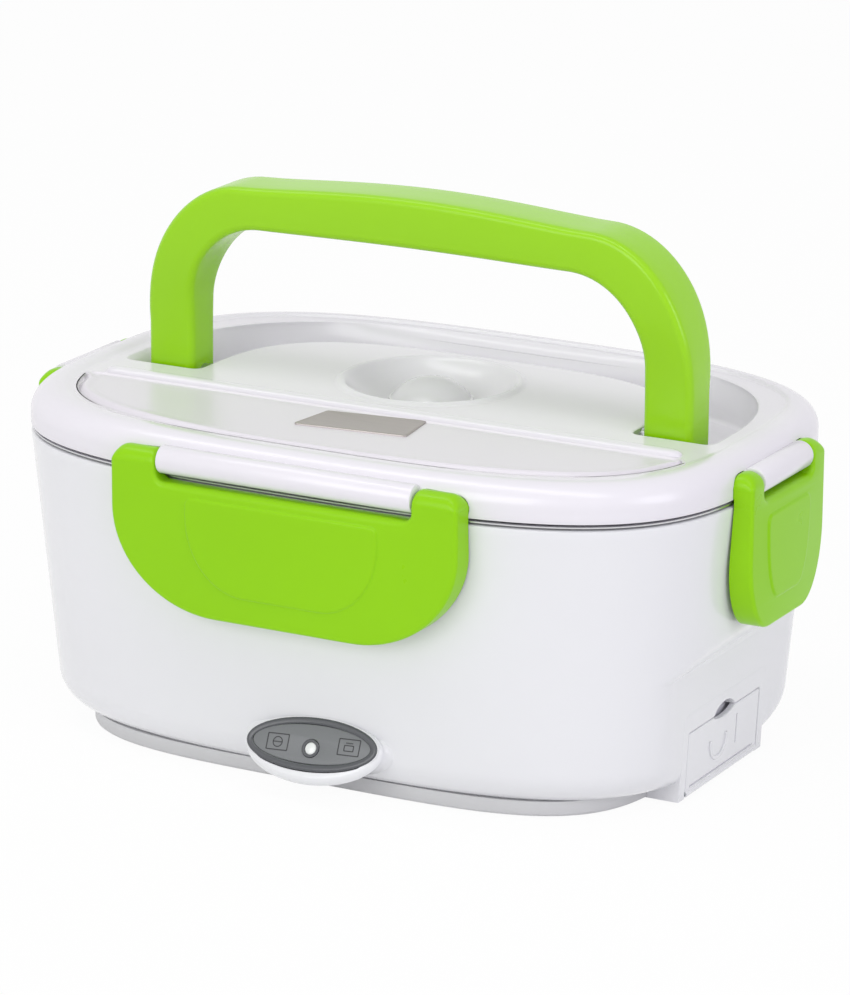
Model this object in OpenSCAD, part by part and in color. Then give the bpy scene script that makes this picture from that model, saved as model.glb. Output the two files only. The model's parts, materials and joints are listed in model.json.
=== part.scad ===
// Electric lunch box: heated casing, food container, latched lid with folding handle.
// The origin is the middle of the underside, +X is the inlet end and -Y the front.

/* [Outline] */
// Length of the lid, left to right
lid_l = 226; // [222:0.5:228]
// Depth of the lid, front to back
lid_w = 159.6; // [157:0.2:161]
// Squareness of the outline: 2 is an ellipse, a higher value is squarer
squareness = 3.24; // [3.1:0.02:3.4]
// Length over the two end latches
overall_l = 238; // [236:0.5:240]
// Depth over the front and back latches
overall_w = 170; // [169:0.2:171]

/* [Casing] */
// Length of the casing at its top edge
case_top_l = 226; // [224:0.2:226]
// Depth of the casing at its top edge
case_top_w = 159.4; // [158:0.2:159.6]
// Length of the casing just above its rounded bottom edge
case_low_l = 212.2; // [210:0.2:214]
// Depth of the casing just above its rounded bottom edge
case_low_w = 148; // [146:0.2:149]
// Wall thickness of the casing
case_wall = 2.4; // [2:0.1:2.8]
// Height of the casing's underside above the table
case_bottom_z = 4.2; // [4:0.1:4.4]
// Height of the casing's top edge
case_top_z = 89.4; // [89:0.1:89.5]

/* [Lid] */
// Height of the lid's raised rim
lid_rim_z = 101.8; // [101.4:0.1:102.4]
// Height of the flat top of the lid
lid_top_z = 100.9; // [100.6:0.1:101.1]
// Radius of the steam vent's bowl
vent_r = 28; // [26:0.5:28.5]
// Diameter of the vent's stem
vent_stem_d = 7.6; // [6:0.2:9]

/* [Handle] */
// Outer width of the handle
handle_w = 180.5; // [178:0.5:181]
// Height of the ends of the handle's top bar when it stands up
handle_top_z = 158.3; // [150:0.5:160]
// Width of a handle leg
handle_leg_w = 15.5; // [13:0.5:16]
// Diameter of the handle's pivot pins
handle_pin_d = 5; // [4:0.5:6]

/* [Latches] */
// Half width of the front and back latches
long_latch = 56; // [54:0.2:56.4]
// Half width of the end latches
short_latch = 25.6; // [24:0.2:26]
// Height of the latches' lower edge
latch_bottom_z = 50.8; // [50:0.2:54]
// Diameter of the latch pins
latch_pin_d = 3; // [2.5:0.1:3.2]

/* [Inlet and lamp] */
// Width of the inlet door
door_w = 48; // [45:0.2:49]
// Height of the top edge of the inlet door
door_top_z = 20.3; // [19:0.1:20.5]
// Length of the oval lamp panel
panel_l = 42; // [40:0.2:44]
// Height of the oval lamp panel
panel_h = 15.8; // [15:0.2:17]

/* [Hidden] */
$fn = 48;
outline_steps = 64;
small_outline_steps = 32;
cut = 1;                 // how far a cutting shape runs past the surface
gap = 0.3;               // play between moving pieces
slip = 0.05;             // radial play of a running pin

// Casing
fillet_r = 11.5;
case_flange_z = case_bottom_z + case_wall;
case_hole = [86, 60, 4];           // half length, half depth and squareness of the bottom hole
ledge_z = 87.2;
ledge_reach = 4.8;
panel_at = [7, -78.8, 16.9];       // middle of the lamp panel's face
panel_lean = 30;
panel_turn = 3.5;
chin_root = [27, 10.3];            // half length and half height of the boss where it leaves the wall
facet_x = 101;                     // the flat inlet end
facet_bend_z = 24;
facet_top = [102.6, 40];
facet_end = [112, 52];
facet_skin = 1.4;
inlet_y = -3;                      // the inlet sits a little in front of the middle
inlet_half = 28;
inlet_wall = 2;
inlet_low_z = 0.6;
inlet_top_z = 22;
inlet_back_x = 84.4;
door_gap_half = door_w / 2 + gap;
door_axis = [100, 0, 2];
door_pin_r = 0.8;
door_pin_l = 54;
door_t = 1.8;
notch_r = 8;                       // finger notch above the door
contact_y = 4;                     // the inlet's two pins lie at plus and minus this
contact_z = 11;
contact_r = 1.2;
screw_spots = [for (x = [-74, 74], y = [-50, 50]) [x, y]];
foot_spots = [for (x = [-68, 68], y = [-42, 42]) [x, y]];
foot_r = 6;
foot_h = 1.8;
screw_r = 1.5;
screw_head_r = 2.8;

// Basin and container
basin_floor_z = 28;
basin_wall = 2;
plate_top_z = 32.8;
plate_low_z = 27;
plate_half = [75, 46];
plate_seat = [69.5, 40.5];         // the step of the heater plate that fills the hole in the basin
element_low_z = 21;
element_half = [35, 14];
clamp_x = 45;
thermostat_at = [-56, 22];
fuse_at = [22, 27, 24.6];
container_floor_z = 33;
rim_low_z = 89.5;
rim_z = 90.3;
steel = 0.8;
tray_x = 62;

// Lid
skirt_z = 90.6;
skirt_wall = 2.6;
lid_edge_r = 7;
band_a = 12;                       // width of the lid's solid border
band_z = 93.6;
ceiling_z = 98.2;
pivot_z = 98;
pivot_r = 7;
channel_y = -8.5;
channel_floor_z = 87.5;
channel_wall = 2;
vent_at = [-4.5, 13.5];
channel_half = [94, 73, 4];        // half length, depth and squareness of the handle's groove
shelf_half = [97.8, 78, 3.1];    // of the step round the groove
island_half = [71.7, 55, 3.4];     // of the raised middle inside the groove
shelf_z = 95.5;
spoon_y = -26;                     // the straight back edge of the spoon compartment
spoon_depth = 43;
ridge_y = [-25.6, -20];
ridge_z = 102.6;
cover_z = 98.8;
cover_t = 2;
pocket_floor_z = 90.2;
latch_axis_z = 94.5;
latch_r = 3.9;
barrel_r = 3.8;
barrel_up = 0.6;                   // the lid's bars lie a little above the pins inside them
ear_pocket_r = latch_r + 0.4;
latch_skin = 2.2;
notch_z = 89.3;
lug_z = 80;
lug_h = 3.4;
lug_reach = [80.1, 113.6];         // front and back, then left and right
hook_t = 2.5;
pin_span = [70, 96];               // how far out the handle's pins start and end
spoon_at = [-48, -44];
handle_crown = [2.8, 0.6];         // rise of the top bar in its middle, outside and inside

// ---- outlines and lofts ----

function power(v, p) = sign(v) * pow(abs(v), p);

// The rounded outline: half length a, half depth b, squareness p
function outline(a, b, p = squareness, n = outline_steps) =
    [for (i = [0 : n - 1]) let (t = 360 * i / n) [a * power(cos(t), 2 / p), b * power(sin(t), 2 / p)]];

function ring(z, a, b, p = squareness, n = outline_steps) =
    [for (q = outline(a, b, p, n)) [q[0], q[1], z]];

// A half outline that starts at y0 and swells to depth d, to the back (+1) or the front (-1)
function half_outline(a, d, p, y0, way, n = 40) =
    [for (i = [0 : n]) let (t = 180 * i / n) [a * power(cos(t), 2 / p), y0 + way * d * power(sin(t), 2 / p)]];

function skin_faces(rings, n) =
    [for (k = [0 : rings - 2], i = [0 : n - 1])
        let (j = (i + 1) % n, low = k * n, high = low + n)
        each [[low + i, high + i, high + j], [low + i, high + j, low + j]]];

// A closed solid through a list of rings, with a cap on the first and the last
module loft(rings) {
    n = len(rings[0]);
    last = (len(rings) - 1) * n;
    polyhedron(
        points = [for (r = rings) each r],
        faces = concat(
            [[for (i = [0 : n - 1]) i]],
            skin_faces(len(rings), n),
            [[for (i = [0 : n - 1]) last + n - 1 - i]]
        )
    );
}

// A closed hoop through a list of rings, where the last ring joins the first
module hoop(rings) {
    n = len(rings[0]);
    closed = concat(rings, [rings[0]]);
    polyhedron(
        points = [for (r = rings) each r],
        faces = [for (f = skin_faces(len(closed), n)) [for (v = f) v % (n * len(rings))]]
    );
}

module prism(points, z0, z1) {
    translate([0, 0, z0])
        linear_extrude(z1 - z0)
            polygon(points);
}

// Extrudes an outline drawn in x and z along y, from y0 (front) to y1 (back)
module slab(y0, y1) {
    translate([0, y1, 0])
        rotate([90, 0, 0])
            linear_extrude(y1 - y0)
                children();
}

// Extrudes an outline drawn in y and z along x, from x0 (left) to x1 (right)
module slab_along_x(x0, x1) {
    translate([x0, 0, 0])
        rotate([90, 0, 90])
            linear_extrude(x1 - x0)
                children();
}

module oval(a, b) {
    polygon(outline(a, b, 2, small_outline_steps));
}

module box(low, high) {
    translate(low)
        cube(high - low);
}

// A box centred on the axis: half length and half depth, from z0 to z1
module block(half, z0, z1) {
    box([-half[0], -half[1], z0], [half[0], half[1], z1]);
}

module rod(r, length, at) {
    translate(at)
        rotate([0, 90, 0])
            cylinder(r = r, h = length, center = true);
}

module rod_along_y(r, length, at) {
    translate(at)
        rotate([90, 0, 0])
            cylinder(r = r, h = length, center = true);
}

// ---- casing ----

function case_mix(z) = (z - case_bottom_z - fillet_r) / (case_top_z - case_bottom_z - fillet_r);
function case_a(z) = (case_low_l + (case_top_l - case_low_l) * max(0, case_mix(z))) / 2;
function case_b(z) = (case_low_w + (case_top_w - case_low_w) * max(0, case_mix(z))) / 2;
function case_ring(z, inset = 0) = ring(z, case_a(z) - inset, case_b(z) - inset);

function case_outside() = [
    for (t = [0 : 18 : 90]) case_ring(case_bottom_z + fillet_r * (1 - cos(t)), fillet_r * (1 - sin(t))),
    case_ring(case_top_z)
];

function case_inside() = [
    case_ring(case_top_z, case_wall),
    case_ring(ledge_z, case_wall),
    case_ring(ledge_z, ledge_reach),
    case_ring(84.5, ledge_reach),
    case_ring(81, case_wall),
    case_ring(15, case_wall),
    case_ring(10, case_wall + 2),
    case_ring(case_flange_z, case_wall + fillet_r - 2)
];

module case_shell() {
    hoop(concat(
        [ring(case_bottom_z, case_hole[0], case_hole[1], case_hole[2])],
        case_outside(),
        case_inside(),
        [ring(case_flange_z, case_hole[0], case_hole[1], case_hole[2])]
    ));
}

// What is cut off the right end to leave the flat inlet face, with an extra depth behind it
module facet(back = 0) {
    slab(-90, 90)
        polygon([
            [facet_x - back, -cut], [facet_x - back, facet_bend_z], facet_top - [back, 0],
            facet_end - [back, 0], [130, facet_end[1] + 8], [130, -cut]
        ]);
}

module facet_wall() {
    intersection() {
        loft(case_outside());
        difference() {
            facet(facet_skin);
            facet();
            box([0, -90, -cut], [130, 90, case_bottom_z + 0.01]);
        }
        box([80, -60, 0], [120, 60, 54]);
    }
}

module inlet_surround() {
    translate([0, inlet_y, 0])
    difference() {
        box([88, -inlet_half, inlet_low_z], [facet_x, inlet_half, inlet_top_z + inlet_wall]);
        box([80, -inlet_half + inlet_wall, -cut],
            [facet_x - inlet_wall, inlet_half - inlet_wall, inlet_top_z]);
    }
}

// Places what is drawn round the origin, with its face to the front, on the leaning face of the lamp panel
module on_panel() {
    translate(panel_at)
        rotate([-panel_lean, 0, 0])
            rotate([0, -panel_turn, 0])
                children();
}

module lamp_chin() {
    hull() {
        on_panel()
            slab(0, 3)
                translate([0, -1.2])
                    oval(panel_l / 2 + 2.2, 10.4);
        translate([panel_at[0], 0, 15])
            slab(-72, -67)
                oval(chin_root[0], chin_root[1]);
    }
}

module latch_lug(half, reach) {
    box([-half, -reach, lug_z], [half, -reach + 4.4, lug_z + lug_h]);
}

// The two blocks that hold the ends of the inlet door's pin
module door_lugs() {
    for (side = [-1, 1])
        translate([0, inlet_y + side * (door_gap_half + 2), 0])
            box([98.2, -2, inlet_low_z], [facet_x, 2, 4.6]);
}

module outer_casing() {
    color("white")
    difference() {
        union() {
            casing_with_holes();
            door_lugs();
        }
        rod_along_y(door_pin_r, door_pin_l, door_axis + [0, inlet_y, 0]);
    }
}

module casing_with_holes() {
    difference() {
        union() {
            difference() {
                case_shell();
                facet();
            }
            facet_wall();
            inlet_surround();
            difference() {
                lamp_chin();
                box([-40, -case_b(20) + case_wall, 9], [50, 0, 40]);
            }
            for (turn = [0, 180])
                rotate([0, 0, turn]) {
                    latch_lug(30, lug_reach[0]);
                    rotate([0, 0, 90]) latch_lug(12, lug_reach[1]);
                }
            for (p = screw_spots)
                translate([p[0], p[1], case_flange_z - 0.5]) cylinder(r = 4, h = 9.5);
        }
        translate([0, inlet_y, 0]) {
            box([inlet_back_x - 0.4, -inlet_half + inlet_wall, -cut],
                [facet_x - inlet_wall, inlet_half - inlet_wall, inlet_top_z]);
            box([95, -door_gap_half, -cut], [facet_x + cut, door_gap_half, door_top_z + gap]);
            translate([facet_x - 3, 0, door_top_z - 4])
                rotate([0, 90, 0]) cylinder(r = notch_r, h = 4);
        }
        on_panel() {
            slab(-cut, 1.6) oval(panel_l / 2 + 0.1, panel_h / 2 + 0.1);
            slab(-cut, 2.5) oval(13, 5.6);
            slab(2.4, 7) oval(16, 6.6);
            slab(6.9, 16) translate([0, 2]) oval(12, 4.4);
        }
        for (p = screw_spots)
            translate([p[0], p[1], 0]) cylinder(r = screw_r, h = 14.5);
    }
}

// ---- basin that holds the food container ----

module heating_basin() {
    color("gainsboro")
    difference() {
        loft([
            ring(basin_floor_z, 93, 60), ring(basin_floor_z + 2, 98, 65), ring(basin_floor_z + 6, 99.8, 67.4),
            ring(ledge_z, 106.4, 73), ring(ledge_z, 110, 76.8), ring(89.3, 110, 76.8),
            ring(89.3, 104.6, 71.2), ring(basin_floor_z + 7, 98.2, 65.6),
            ring(basin_floor_z + 3.2, 96.6, 63.6),
            ring(basin_floor_z + basin_wall, 92, 59)
        ]);
        block(plate_seat + [0.5, 0.5], 20, 40);
    }
}

module heater_plate() {
    color("silver")
    difference() {
        union() {
            block(plate_half, basin_floor_z + basin_wall, plate_top_z);
            block(plate_seat, plate_low_z, basin_floor_z + basin_wall);
        }
        for (x = [-clamp_x, clamp_x])
            translate([x, 0, plate_low_z - 1]) cylinder(r = screw_r, h = 4.8);
    }
}

module heating_element() {
    color("silver")
    difference() {
        block(element_half, element_low_z, plate_low_z);
        for (y = [-10 : 5 : 10])
            translate([0, y, 0]) block([element_half[0] + cut, 0.6], element_low_z - 0.1, element_low_z + 1);
    }
}

module element_clamp() {
    color("lightsteelblue")
    difference() {
        union() {
            box([-37.2, -7, element_low_z - 1.4], [37.2, 7, element_low_z - 0.2]);
            for (side = [-1, 1]) {
                box([side * 36.6 - 0.6, -7, element_low_z - 1.4], [side * 36.6 + 0.6, 7, plate_low_z]);
                box([side * 43 - 7, -7, plate_low_z - 1.2], [side * 43 + 7, 7, plate_low_z]);
            }
        }
        for (x = [-clamp_x, clamp_x])
            translate([x, 0, 20]) cylinder(r = screw_r + 0.2, h = 10);
    }
}

module clamp_screws() {
    color("gray")
    for (x = [-clamp_x, clamp_x])
        translate([x, 0, plate_low_z - 1.2]) {
            translate([0, 0, -2]) cylinder(r = screw_head_r, h = 2);
            cylinder(r = screw_r, h = 5);
        }
}

module thermostat() {
    color("dimgray")
    translate([thermostat_at[0], thermostat_at[1], 0]) {
        translate([0, 0, 20.5]) cylinder(r = 8, h = plate_low_z - 20.5);
        for (side = [-1, 1])
            box([side * 7 - 3, -1.5, 18.5], [side * 7 + 3, 1.5, 20.5]);
    }
}

module thermal_fuse() {
    color("ivory")
    translate(fuse_at) {
        rod(2.4, 14, [0, 0, 0]);
        rod(0.7, 22, [0, 0, 0]);
    }
}

// ---- wires clipped inside the base ----

// Inlet to fuse, fuse to thermostat, and thermostat to heating element
live_routes = [
    [[82.9, 1, 11], [79, 2, 11], [70, 13, 10.5], [60, 23, 14], [48, 27, 20], [40, 27, 24], [33.3, 27, 24.6]],
    [[10.7, 27, 24.6], [4, 27, 23.6], [-14, 26, 18], [-34, 23, 17], [-41, 22, 19.2], [-45.6, 22, 19.5]],
    [[-66.4, 22, 19.5], [-71, 20, 18.6], [-68, 10, 17], [-54, 10.5, 19], [-43, 11, 23.6], [-35.2, 11, 24]]
];
neutral_route = [
    [82.9, -7, 11], [79, -8, 11], [70, -16, 10], [50, -26, 12], [0, -30, 14], [-34, -26, 17],
    [-50, -18, 20], [-44, -11, 23.6], [-35.2, -11, 24]
];
lamp_route = [
    [84.2, -14, 9], [79, -15, 9], [70, -30, 9], [40, -48, 9], [24, -58, 10], [12, -65, 10.6],
    [8.4, -69.6, 11.8], [7, -72.4, 13.2]
];

function glide(a, b, c, d, u) =
    0.5 * ((2 * b) + (c - a) * u + (2 * a - 5 * b + 4 * c - d) * u * u + (3 * b - a - 3 * c + d) * u * u * u);

function smooth(route, parts = 4) = let (n = len(route) - 1) [
    for (k = [0 : n - 1], j = [0 : parts - 1])
        glide(route[max(k - 1, 0)], route[k], route[k + 1], route[min(k + 2, n)], j / parts),
    route[n]
];

function tube_ring(points, k, r) =
    let (
        ahead = points[min(k + 1, len(points) - 1)] - points[max(k - 1, 0)],
        way = ahead / norm(ahead),
        side = cross([0, 0, 1], way) / norm(cross([0, 0, 1], way)),
        up = cross(way, side)
    )
    [for (i = [0 : 7]) points[k] + r * (cos(45 * i) * side + sin(45 * i) * up)];

module tube(route, r) {
    points = smooth(route);
    loft([for (k = [0 : len(points) - 1]) tube_ring(points, k, r)]);
}

module wire_live() {
    color("saddlebrown")
    for (route = live_routes)
        tube(route, 1.2);
}

module wire_neutral() {
    color("royalblue") tube(neutral_route, 1.2);
}

module wire_lamp() {
    color("firebrick") tube(lamp_route, 0.8);
}

// ---- bottom cover, feet and screws ----

module bottom_cover() {
    color("gainsboro")
    difference() {
        union() {
            loft([
                ring(0.3, 90, 66.1, 4), ring(1.3, 91.3, 67.4, 4), ring(4.1, 91.3, 67.4, 4),
                ring(4.1, 89.1, 65.2, 4), ring(3, 89.1, 65.2, 4)
            ]);
            for (p = screw_spots)
                translate([p[0], p[1], 2]) cylinder(r = 4.5, h = 2.1);
        }
        box([87.6, inlet_y - inlet_half - 0.4, -cut], [100, inlet_y + inlet_half + 0.4, 10]);
        for (p = screw_spots)
            translate([p[0], p[1], -cut]) {
                cylinder(r = screw_r + 0.2, h = 8);
                cylinder(r = 3.2, h = 3);
            }
        for (p = foot_spots)
            translate([p[0], p[1], 0]) cylinder(r = foot_r, h = foot_h);
        for (x = [-30 : 12 : 30])
            box([x - 1.5, -24, 0], [x + 1.5, 24, 4]);
    }
}

module rubber_feet() {
    color("darkslategray")
    for (p = foot_spots)
        translate([p[0], p[1], 0]) cylinder(r = foot_r, h = foot_h);
}

module case_screws() {
    color("gray")
    for (p = screw_spots)
        translate([p[0], p[1], 0])
            difference() {
                union() {
                    translate([0, 0, 1.2]) cylinder(r = 2.9, h = 0.8);
                    translate([0, 0, 2]) cylinder(r = screw_r, h = 12);
                }
                box([-0.4, -2, 0], [0.4, 2, 1.6]);
            }
}

// ---- power inlet ----

module inlet_housing() {
    color("whitesmoke")
    translate([0, inlet_y, 0])
    difference() {
        union() {
            box([inlet_back_x, -inlet_half + inlet_wall, 4.7], [98, inlet_half - inlet_wall, inlet_top_z]);
            box([88, -inlet_half + inlet_wall, inlet_low_z + 0.4], [98, inlet_half - inlet_wall, 4.8]);
        }
        translate([0, 0, contact_z]) {
            for (y = [-contact_y, contact_y])
                rod(4.6, 22.4, [98.2, y, 0]);
            box([87, -contact_y, -4.6], [109, contact_y, 4.6]);
            for (y = [-contact_y, contact_y])
                rod(contact_r, 20, [86, y, 0]);
        }
    }
}

module inlet_pins() {
    color("goldenrod")
    for (y = [-contact_y, contact_y])
        rod(contact_r, 14, [90, inlet_y + y, contact_z]);
}

module inlet_door() {
    color("white")
    translate([0, inlet_y, 0])
    difference() {
        union() {
            box([facet_x - door_t, -door_w / 2, 1], [facet_x, door_w / 2, door_top_z]);
            rod_along_y(1.2, door_w, door_axis);
            translate([facet_x - 0.2, -3, 9.3])
                rotate([0, 90, 0])
                    difference() {
                        cylinder(r = 5.6, h = 0.6);
                        translate([0, 0, -cut]) cylinder(r = 4.2, h = 3);
                        box([-7, -7, -cut], [-2, 7, 3]);
                    }
        }
        translate([facet_x - 3, 0, door_top_z + 4])
            rotate([0, 90, 0]) cylinder(r = notch_r, h = 6);
        box([facet_x - 0.5, 13.6, 2.4], [facet_x + cut, 14.4, 19]);
        rod_along_y(door_pin_r + slip, door_w + 2, door_axis);
    }
}

module door_pin() {
    color("silver") rod_along_y(door_pin_r, door_pin_l, door_axis + [0, inlet_y, 0]);
}

// ---- lamp panel ----

module lamp_bezel() {
    color("dimgray")
    on_panel()
        difference() {
            slab(-0.5, 1.6) oval(panel_l / 2, panel_h / 2);
            slab(-cut, 0.7) oval(panel_l / 2 - 2, panel_h / 2 - 1.8);
            slab(-cut, 3) oval(13, 5.6);
        }
}

module lamp_panel() {
    color("gray")
    on_panel()
        difference() {
            slab(-0.2, 0.7) oval(panel_l / 2 - 2.1, panel_h / 2 - 1.9);
            translate([0, 0, -1.2]) slab(-cut, 3) circle(r = 2.4);
        }
}

module lamp_lens() {
    color("honeydew")
    on_panel()
        translate([0, 0, -1.2])
            rotate([90, 0, 0]) {
                translate([0, 0, -2.4]) cylinder(r = 2.35, h = 2.7);
                translate([0, 0, -3.4]) cylinder(r = 3.2, h = 1);
            }
}

module lamp_board() {
    color("seagreen")
    on_panel() {
        box([-11, 5, -4], [11, 6.6, 4]);
        rotate([90, 0, 0]) translate([0, -1.2, -5]) cylinder(r = 1.5, h = 1.6);
    }
}

// ---- food container and side tray ----

module food_container() {
    color("silver")
    loft([
        ring(container_floor_z, 90, 57), ring(container_floor_z + 1.2, 94.6, 61.6),
        ring(container_floor_z + 5, 97.6, 64.6), ring(rim_low_z, 103.9, 70.4),
        ring(rim_low_z, 112.3, 79.1), ring(rim_z, 112.3, 79.1),
        ring(rim_z, 103.9 - steel, 70.4 - steel), ring(container_floor_z + 5.4, 97.6 - steel, 64.6 - steel),
        ring(container_floor_z + 2, 94.1, 61.1), ring(container_floor_z + steel, 90, 57)
    ]);
}

function tray_ring(z, a, b) = [for (q = ring(z, a, b, 3.4)) q + [tray_x, 0, 0]];

module side_tray() {
    color("silver")
    loft([
        tray_ring(34.1, 20, 44), tray_ring(36, 23, 47),
        tray_ring(81.2, 26, 50), tray_ring(81.2, 28.4, 52.4),
        tray_ring(82, 28.4, 52.4), tray_ring(82, 25.2, 49.2),
        tray_ring(36.4, 22.2, 46.2), tray_ring(34.9, 20, 44)
    ]);
}

// ---- lid ----

lid_a = lid_l / 2;
lid_b = lid_w / 2;
function lid_ring(z, inset) = ring(z, lid_a - inset, lid_b - inset);

module lid_body() {
    loft(concat(
        [lid_ring(ceiling_z, band_a), lid_ring(band_z, band_a), lid_ring(band_z, skirt_wall),
         lid_ring(skirt_z, skirt_wall), lid_ring(skirt_z, 0)],
        [for (t = [0 : 18 : 90])
            lid_ring(lid_rim_z - lid_edge_r * (1 - sin(t)), lid_edge_r * (1 - cos(t)))],
        [lid_ring(lid_rim_z, lid_edge_r + 3), lid_ring(lid_top_z, lid_edge_r + 6)]
    ));
}

function behind_slot(half, grow) = half_outline(half[0] + grow, half[1] + grow, half[2], channel_y, 1);
function cover_edge(grow) = half_outline(99 + grow, spoon_depth + grow, 2.5, spoon_y, -1);

// The groove round the island, where the folded handle lies
module channel_shape(grow) {
    difference() {
        polygon(behind_slot(channel_half, grow));
        polygon(behind_slot(island_half, -grow));
    }
    if (grow > 0)
        for (side = [-1, 1])
            translate([side * 83, channel_y - grow / 2])
                square([26.5, grow + 0.4], center = true);
}

module vent_bowl() {
    translate([vent_at[0], vent_at[1], 0])
        rotate_extrude()
            polygon([
                [0, 91.8], [13, 91.8], [19, 93.4], [vent_r - 2, 98.3], [vent_r, 98.3], [vent_r, 101],
                [vent_r - 0.6, 101.7], [vent_r - 2, 101.9], [vent_r - 3, 101.5], [0, 101.5]
            ]);
}

module vent_hollow() {
    translate([vent_at[0], vent_at[1], 0]) {
        rotate_extrude()
            polygon([
                [0, 94], [13, 94], [17, 95], [21, 97.4], [vent_r - 3, 101.5], [vent_r - 3, 104], [0, 104]
            ]);
        cylinder(d = vent_stem_d + 0.6, h = 110);
    }
}

// The four sides of the lid: how far out the latch pin lies, its angle, its half length
latch_sides = [
    [overall_w / 2 - latch_r, 0, long_latch], [overall_w / 2 - latch_r, 180, long_latch],
    [overall_l / 2 - latch_r, -90, short_latch], [overall_l / 2 - latch_r, 90, short_latch]
];
function ear_w(half) = half > 40 ? 14.7 : 8.4;
function barrel_half(half) = half - ear_w(half) - gap;

module at_side(side) {
    rotate([0, 0, side[1]])
        translate([0, -side[0], latch_axis_z])
            children();
}

module lid_shell() {
    color("white")
    difference() {
        union() {
            lid_body();
            slab_along_x(-95, 95)
                polygon([
                    [ridge_y[0], 99], [ridge_y[0] + 0.4, ridge_z - 1.2], [ridge_y[0] + 1.8, ridge_z],
                    [ridge_y[1] - 1.6, ridge_z], [ridge_y[1], ridge_z - 1.4], [ridge_y[1], 99]
                ]);
            vent_bowl();
            translate([0, 0, channel_floor_z - channel_wall])
                linear_extrude(ceiling_z + 0.5 - channel_floor_z + channel_wall) channel_shape(channel_wall);
            prism(cover_edge(-4), pocket_floor_z - channel_wall, ceiling_z + 0.5);
            for (side = latch_sides)
                at_side(side) {
                    box([-side[2] - 2, 3.9, skirt_z - latch_axis_z], [side[2] + 2, latch_r + 1.4, 0]);
                    rod(barrel_r, 2 * barrel_half(side[2]), [0, 0, barrel_up]);
                }
        }
        translate([0, 0, channel_floor_z]) linear_extrude(20) channel_shape(0);
        translate([0, 0, shelf_z])
            linear_extrude(20)
                difference() {
                    polygon(behind_slot(shelf_half, 0));
                    polygon(behind_slot(island_half, 0));
                }
        prism(cover_edge(0.3), cover_z, 110);
        prism(cover_edge(-6), pocket_floor_z, 110);
        vent_hollow();
        for (side = latch_sides)
            at_side(side) {
                for (end = [-1, 1])
                    rod(ear_pocket_r, ear_w(side[2]) + 0.6, [end * (side[2] - ear_w(side[2]) / 2), 0, 0]);
                rod(latch_pin_d / 2, 2 * side[2] - 3, [0, 0, 0]);
            }
        for (side = [-1, 1])
            handle_pin(side);
    }
}

module handle_pin(side) {
    rod(handle_pin_d / 2, pin_span[1] - pin_span[0], [side * (pin_span[0] + pin_span[1]) / 2, 0, pivot_z]);
}

module lid_gasket() {
    color("lightgray")
    hoop([
        ring(90.4, 103.4, 69.8), ring(90.4, 107.2, 73.6), ring(band_z, 107.2, 73.6), ring(band_z, 103.4, 69.8)
    ]);
}

module latch_pins() {
    color("silver")
    for (side = latch_sides)
        at_side(side) rod(latch_pin_d / 2, 2 * side[2] - 3, [0, 0, 0]);
}

// ---- handle ----

function corner(w, top, corner_w, corner_h, n = 12) =
    [for (t = [0 : 90 / n : 90]) [w - corner_w + corner_w * sin(t), top - corner_h + corner_h * cos(t)]];

// Half width w, height of the bar's ends, the size of the rounded corners and the rise of the bar's middle
function arch(w, top, corner_w, corner_h, crown) = let (
        right = corner(w, top, corner_w, corner_h),
        flat = w - corner_w
    ) concat(
        [[-w, pivot_z]],
        [for (i = [len(right) - 1 : -1 : 0]) [-right[i][0], right[i][1]]],
        [for (k = [-5 : 5]) [flat * k / 6, top + crown * (1 - k * k / 36)]],
        right,
        [[w, pivot_z]]
    );

module handle() {
    half = handle_w / 2;
    leg_x = half - handle_leg_w / 2;
    top = handle_top_z + handle_crown[0];
    color("yellowgreen")
    difference() {
        union() {
            intersection() {
                slab(-12, 12)
                    difference() {
                        polygon(arch(half, handle_top_z, 33.3, 42, handle_crown[0]));
                        polygon(arch(half - handle_leg_w, handle_top_z - 12.6, 24, 25, handle_crown[1]));
                    }
                slab_along_x(-100, 100)
                    polygon([
                        [-pivot_r, 90], [pivot_r, 90], [pivot_r, 112], [9.5, 142],
                        [9.5, top - 4], [7.5, top + 0.5], [-7.5, top + 0.5],
                        [-9.5, top - 4], [-9.5, 142], [-pivot_r, 112]
                    ]);
            }
            for (side = [-1, 1])
                rod(pivot_r, handle_leg_w, [side * leg_x, 0, pivot_z]);
        }
        for (side = [-1, 1])
            rod(handle_pin_d / 2 + slip, handle_leg_w + 2, [side * leg_x, 0, pivot_z]);
    }
}

module handle_pins() {
    color("silver")
    for (side = [-1, 1])
        handle_pin(side);
}

// ---- latches ----

// A plate with a flat lower edge and long rounded lower corners
function latch_outline(half, low, top, corner_w, corner_h, n = 10) = concat(
    [for (i = [0 : n]) let (t = 90 * i / n)
        [-half + corner_w * (1 - cos(t)), low + corner_h * (1 - sin(t))]],
    [for (i = [0 : n]) let (t = 90 * i / n)
        [half - corner_w * (1 - sin(t)), low + corner_h * (1 - cos(t))]],
    [[half, top], [-half, top]]
);

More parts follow.
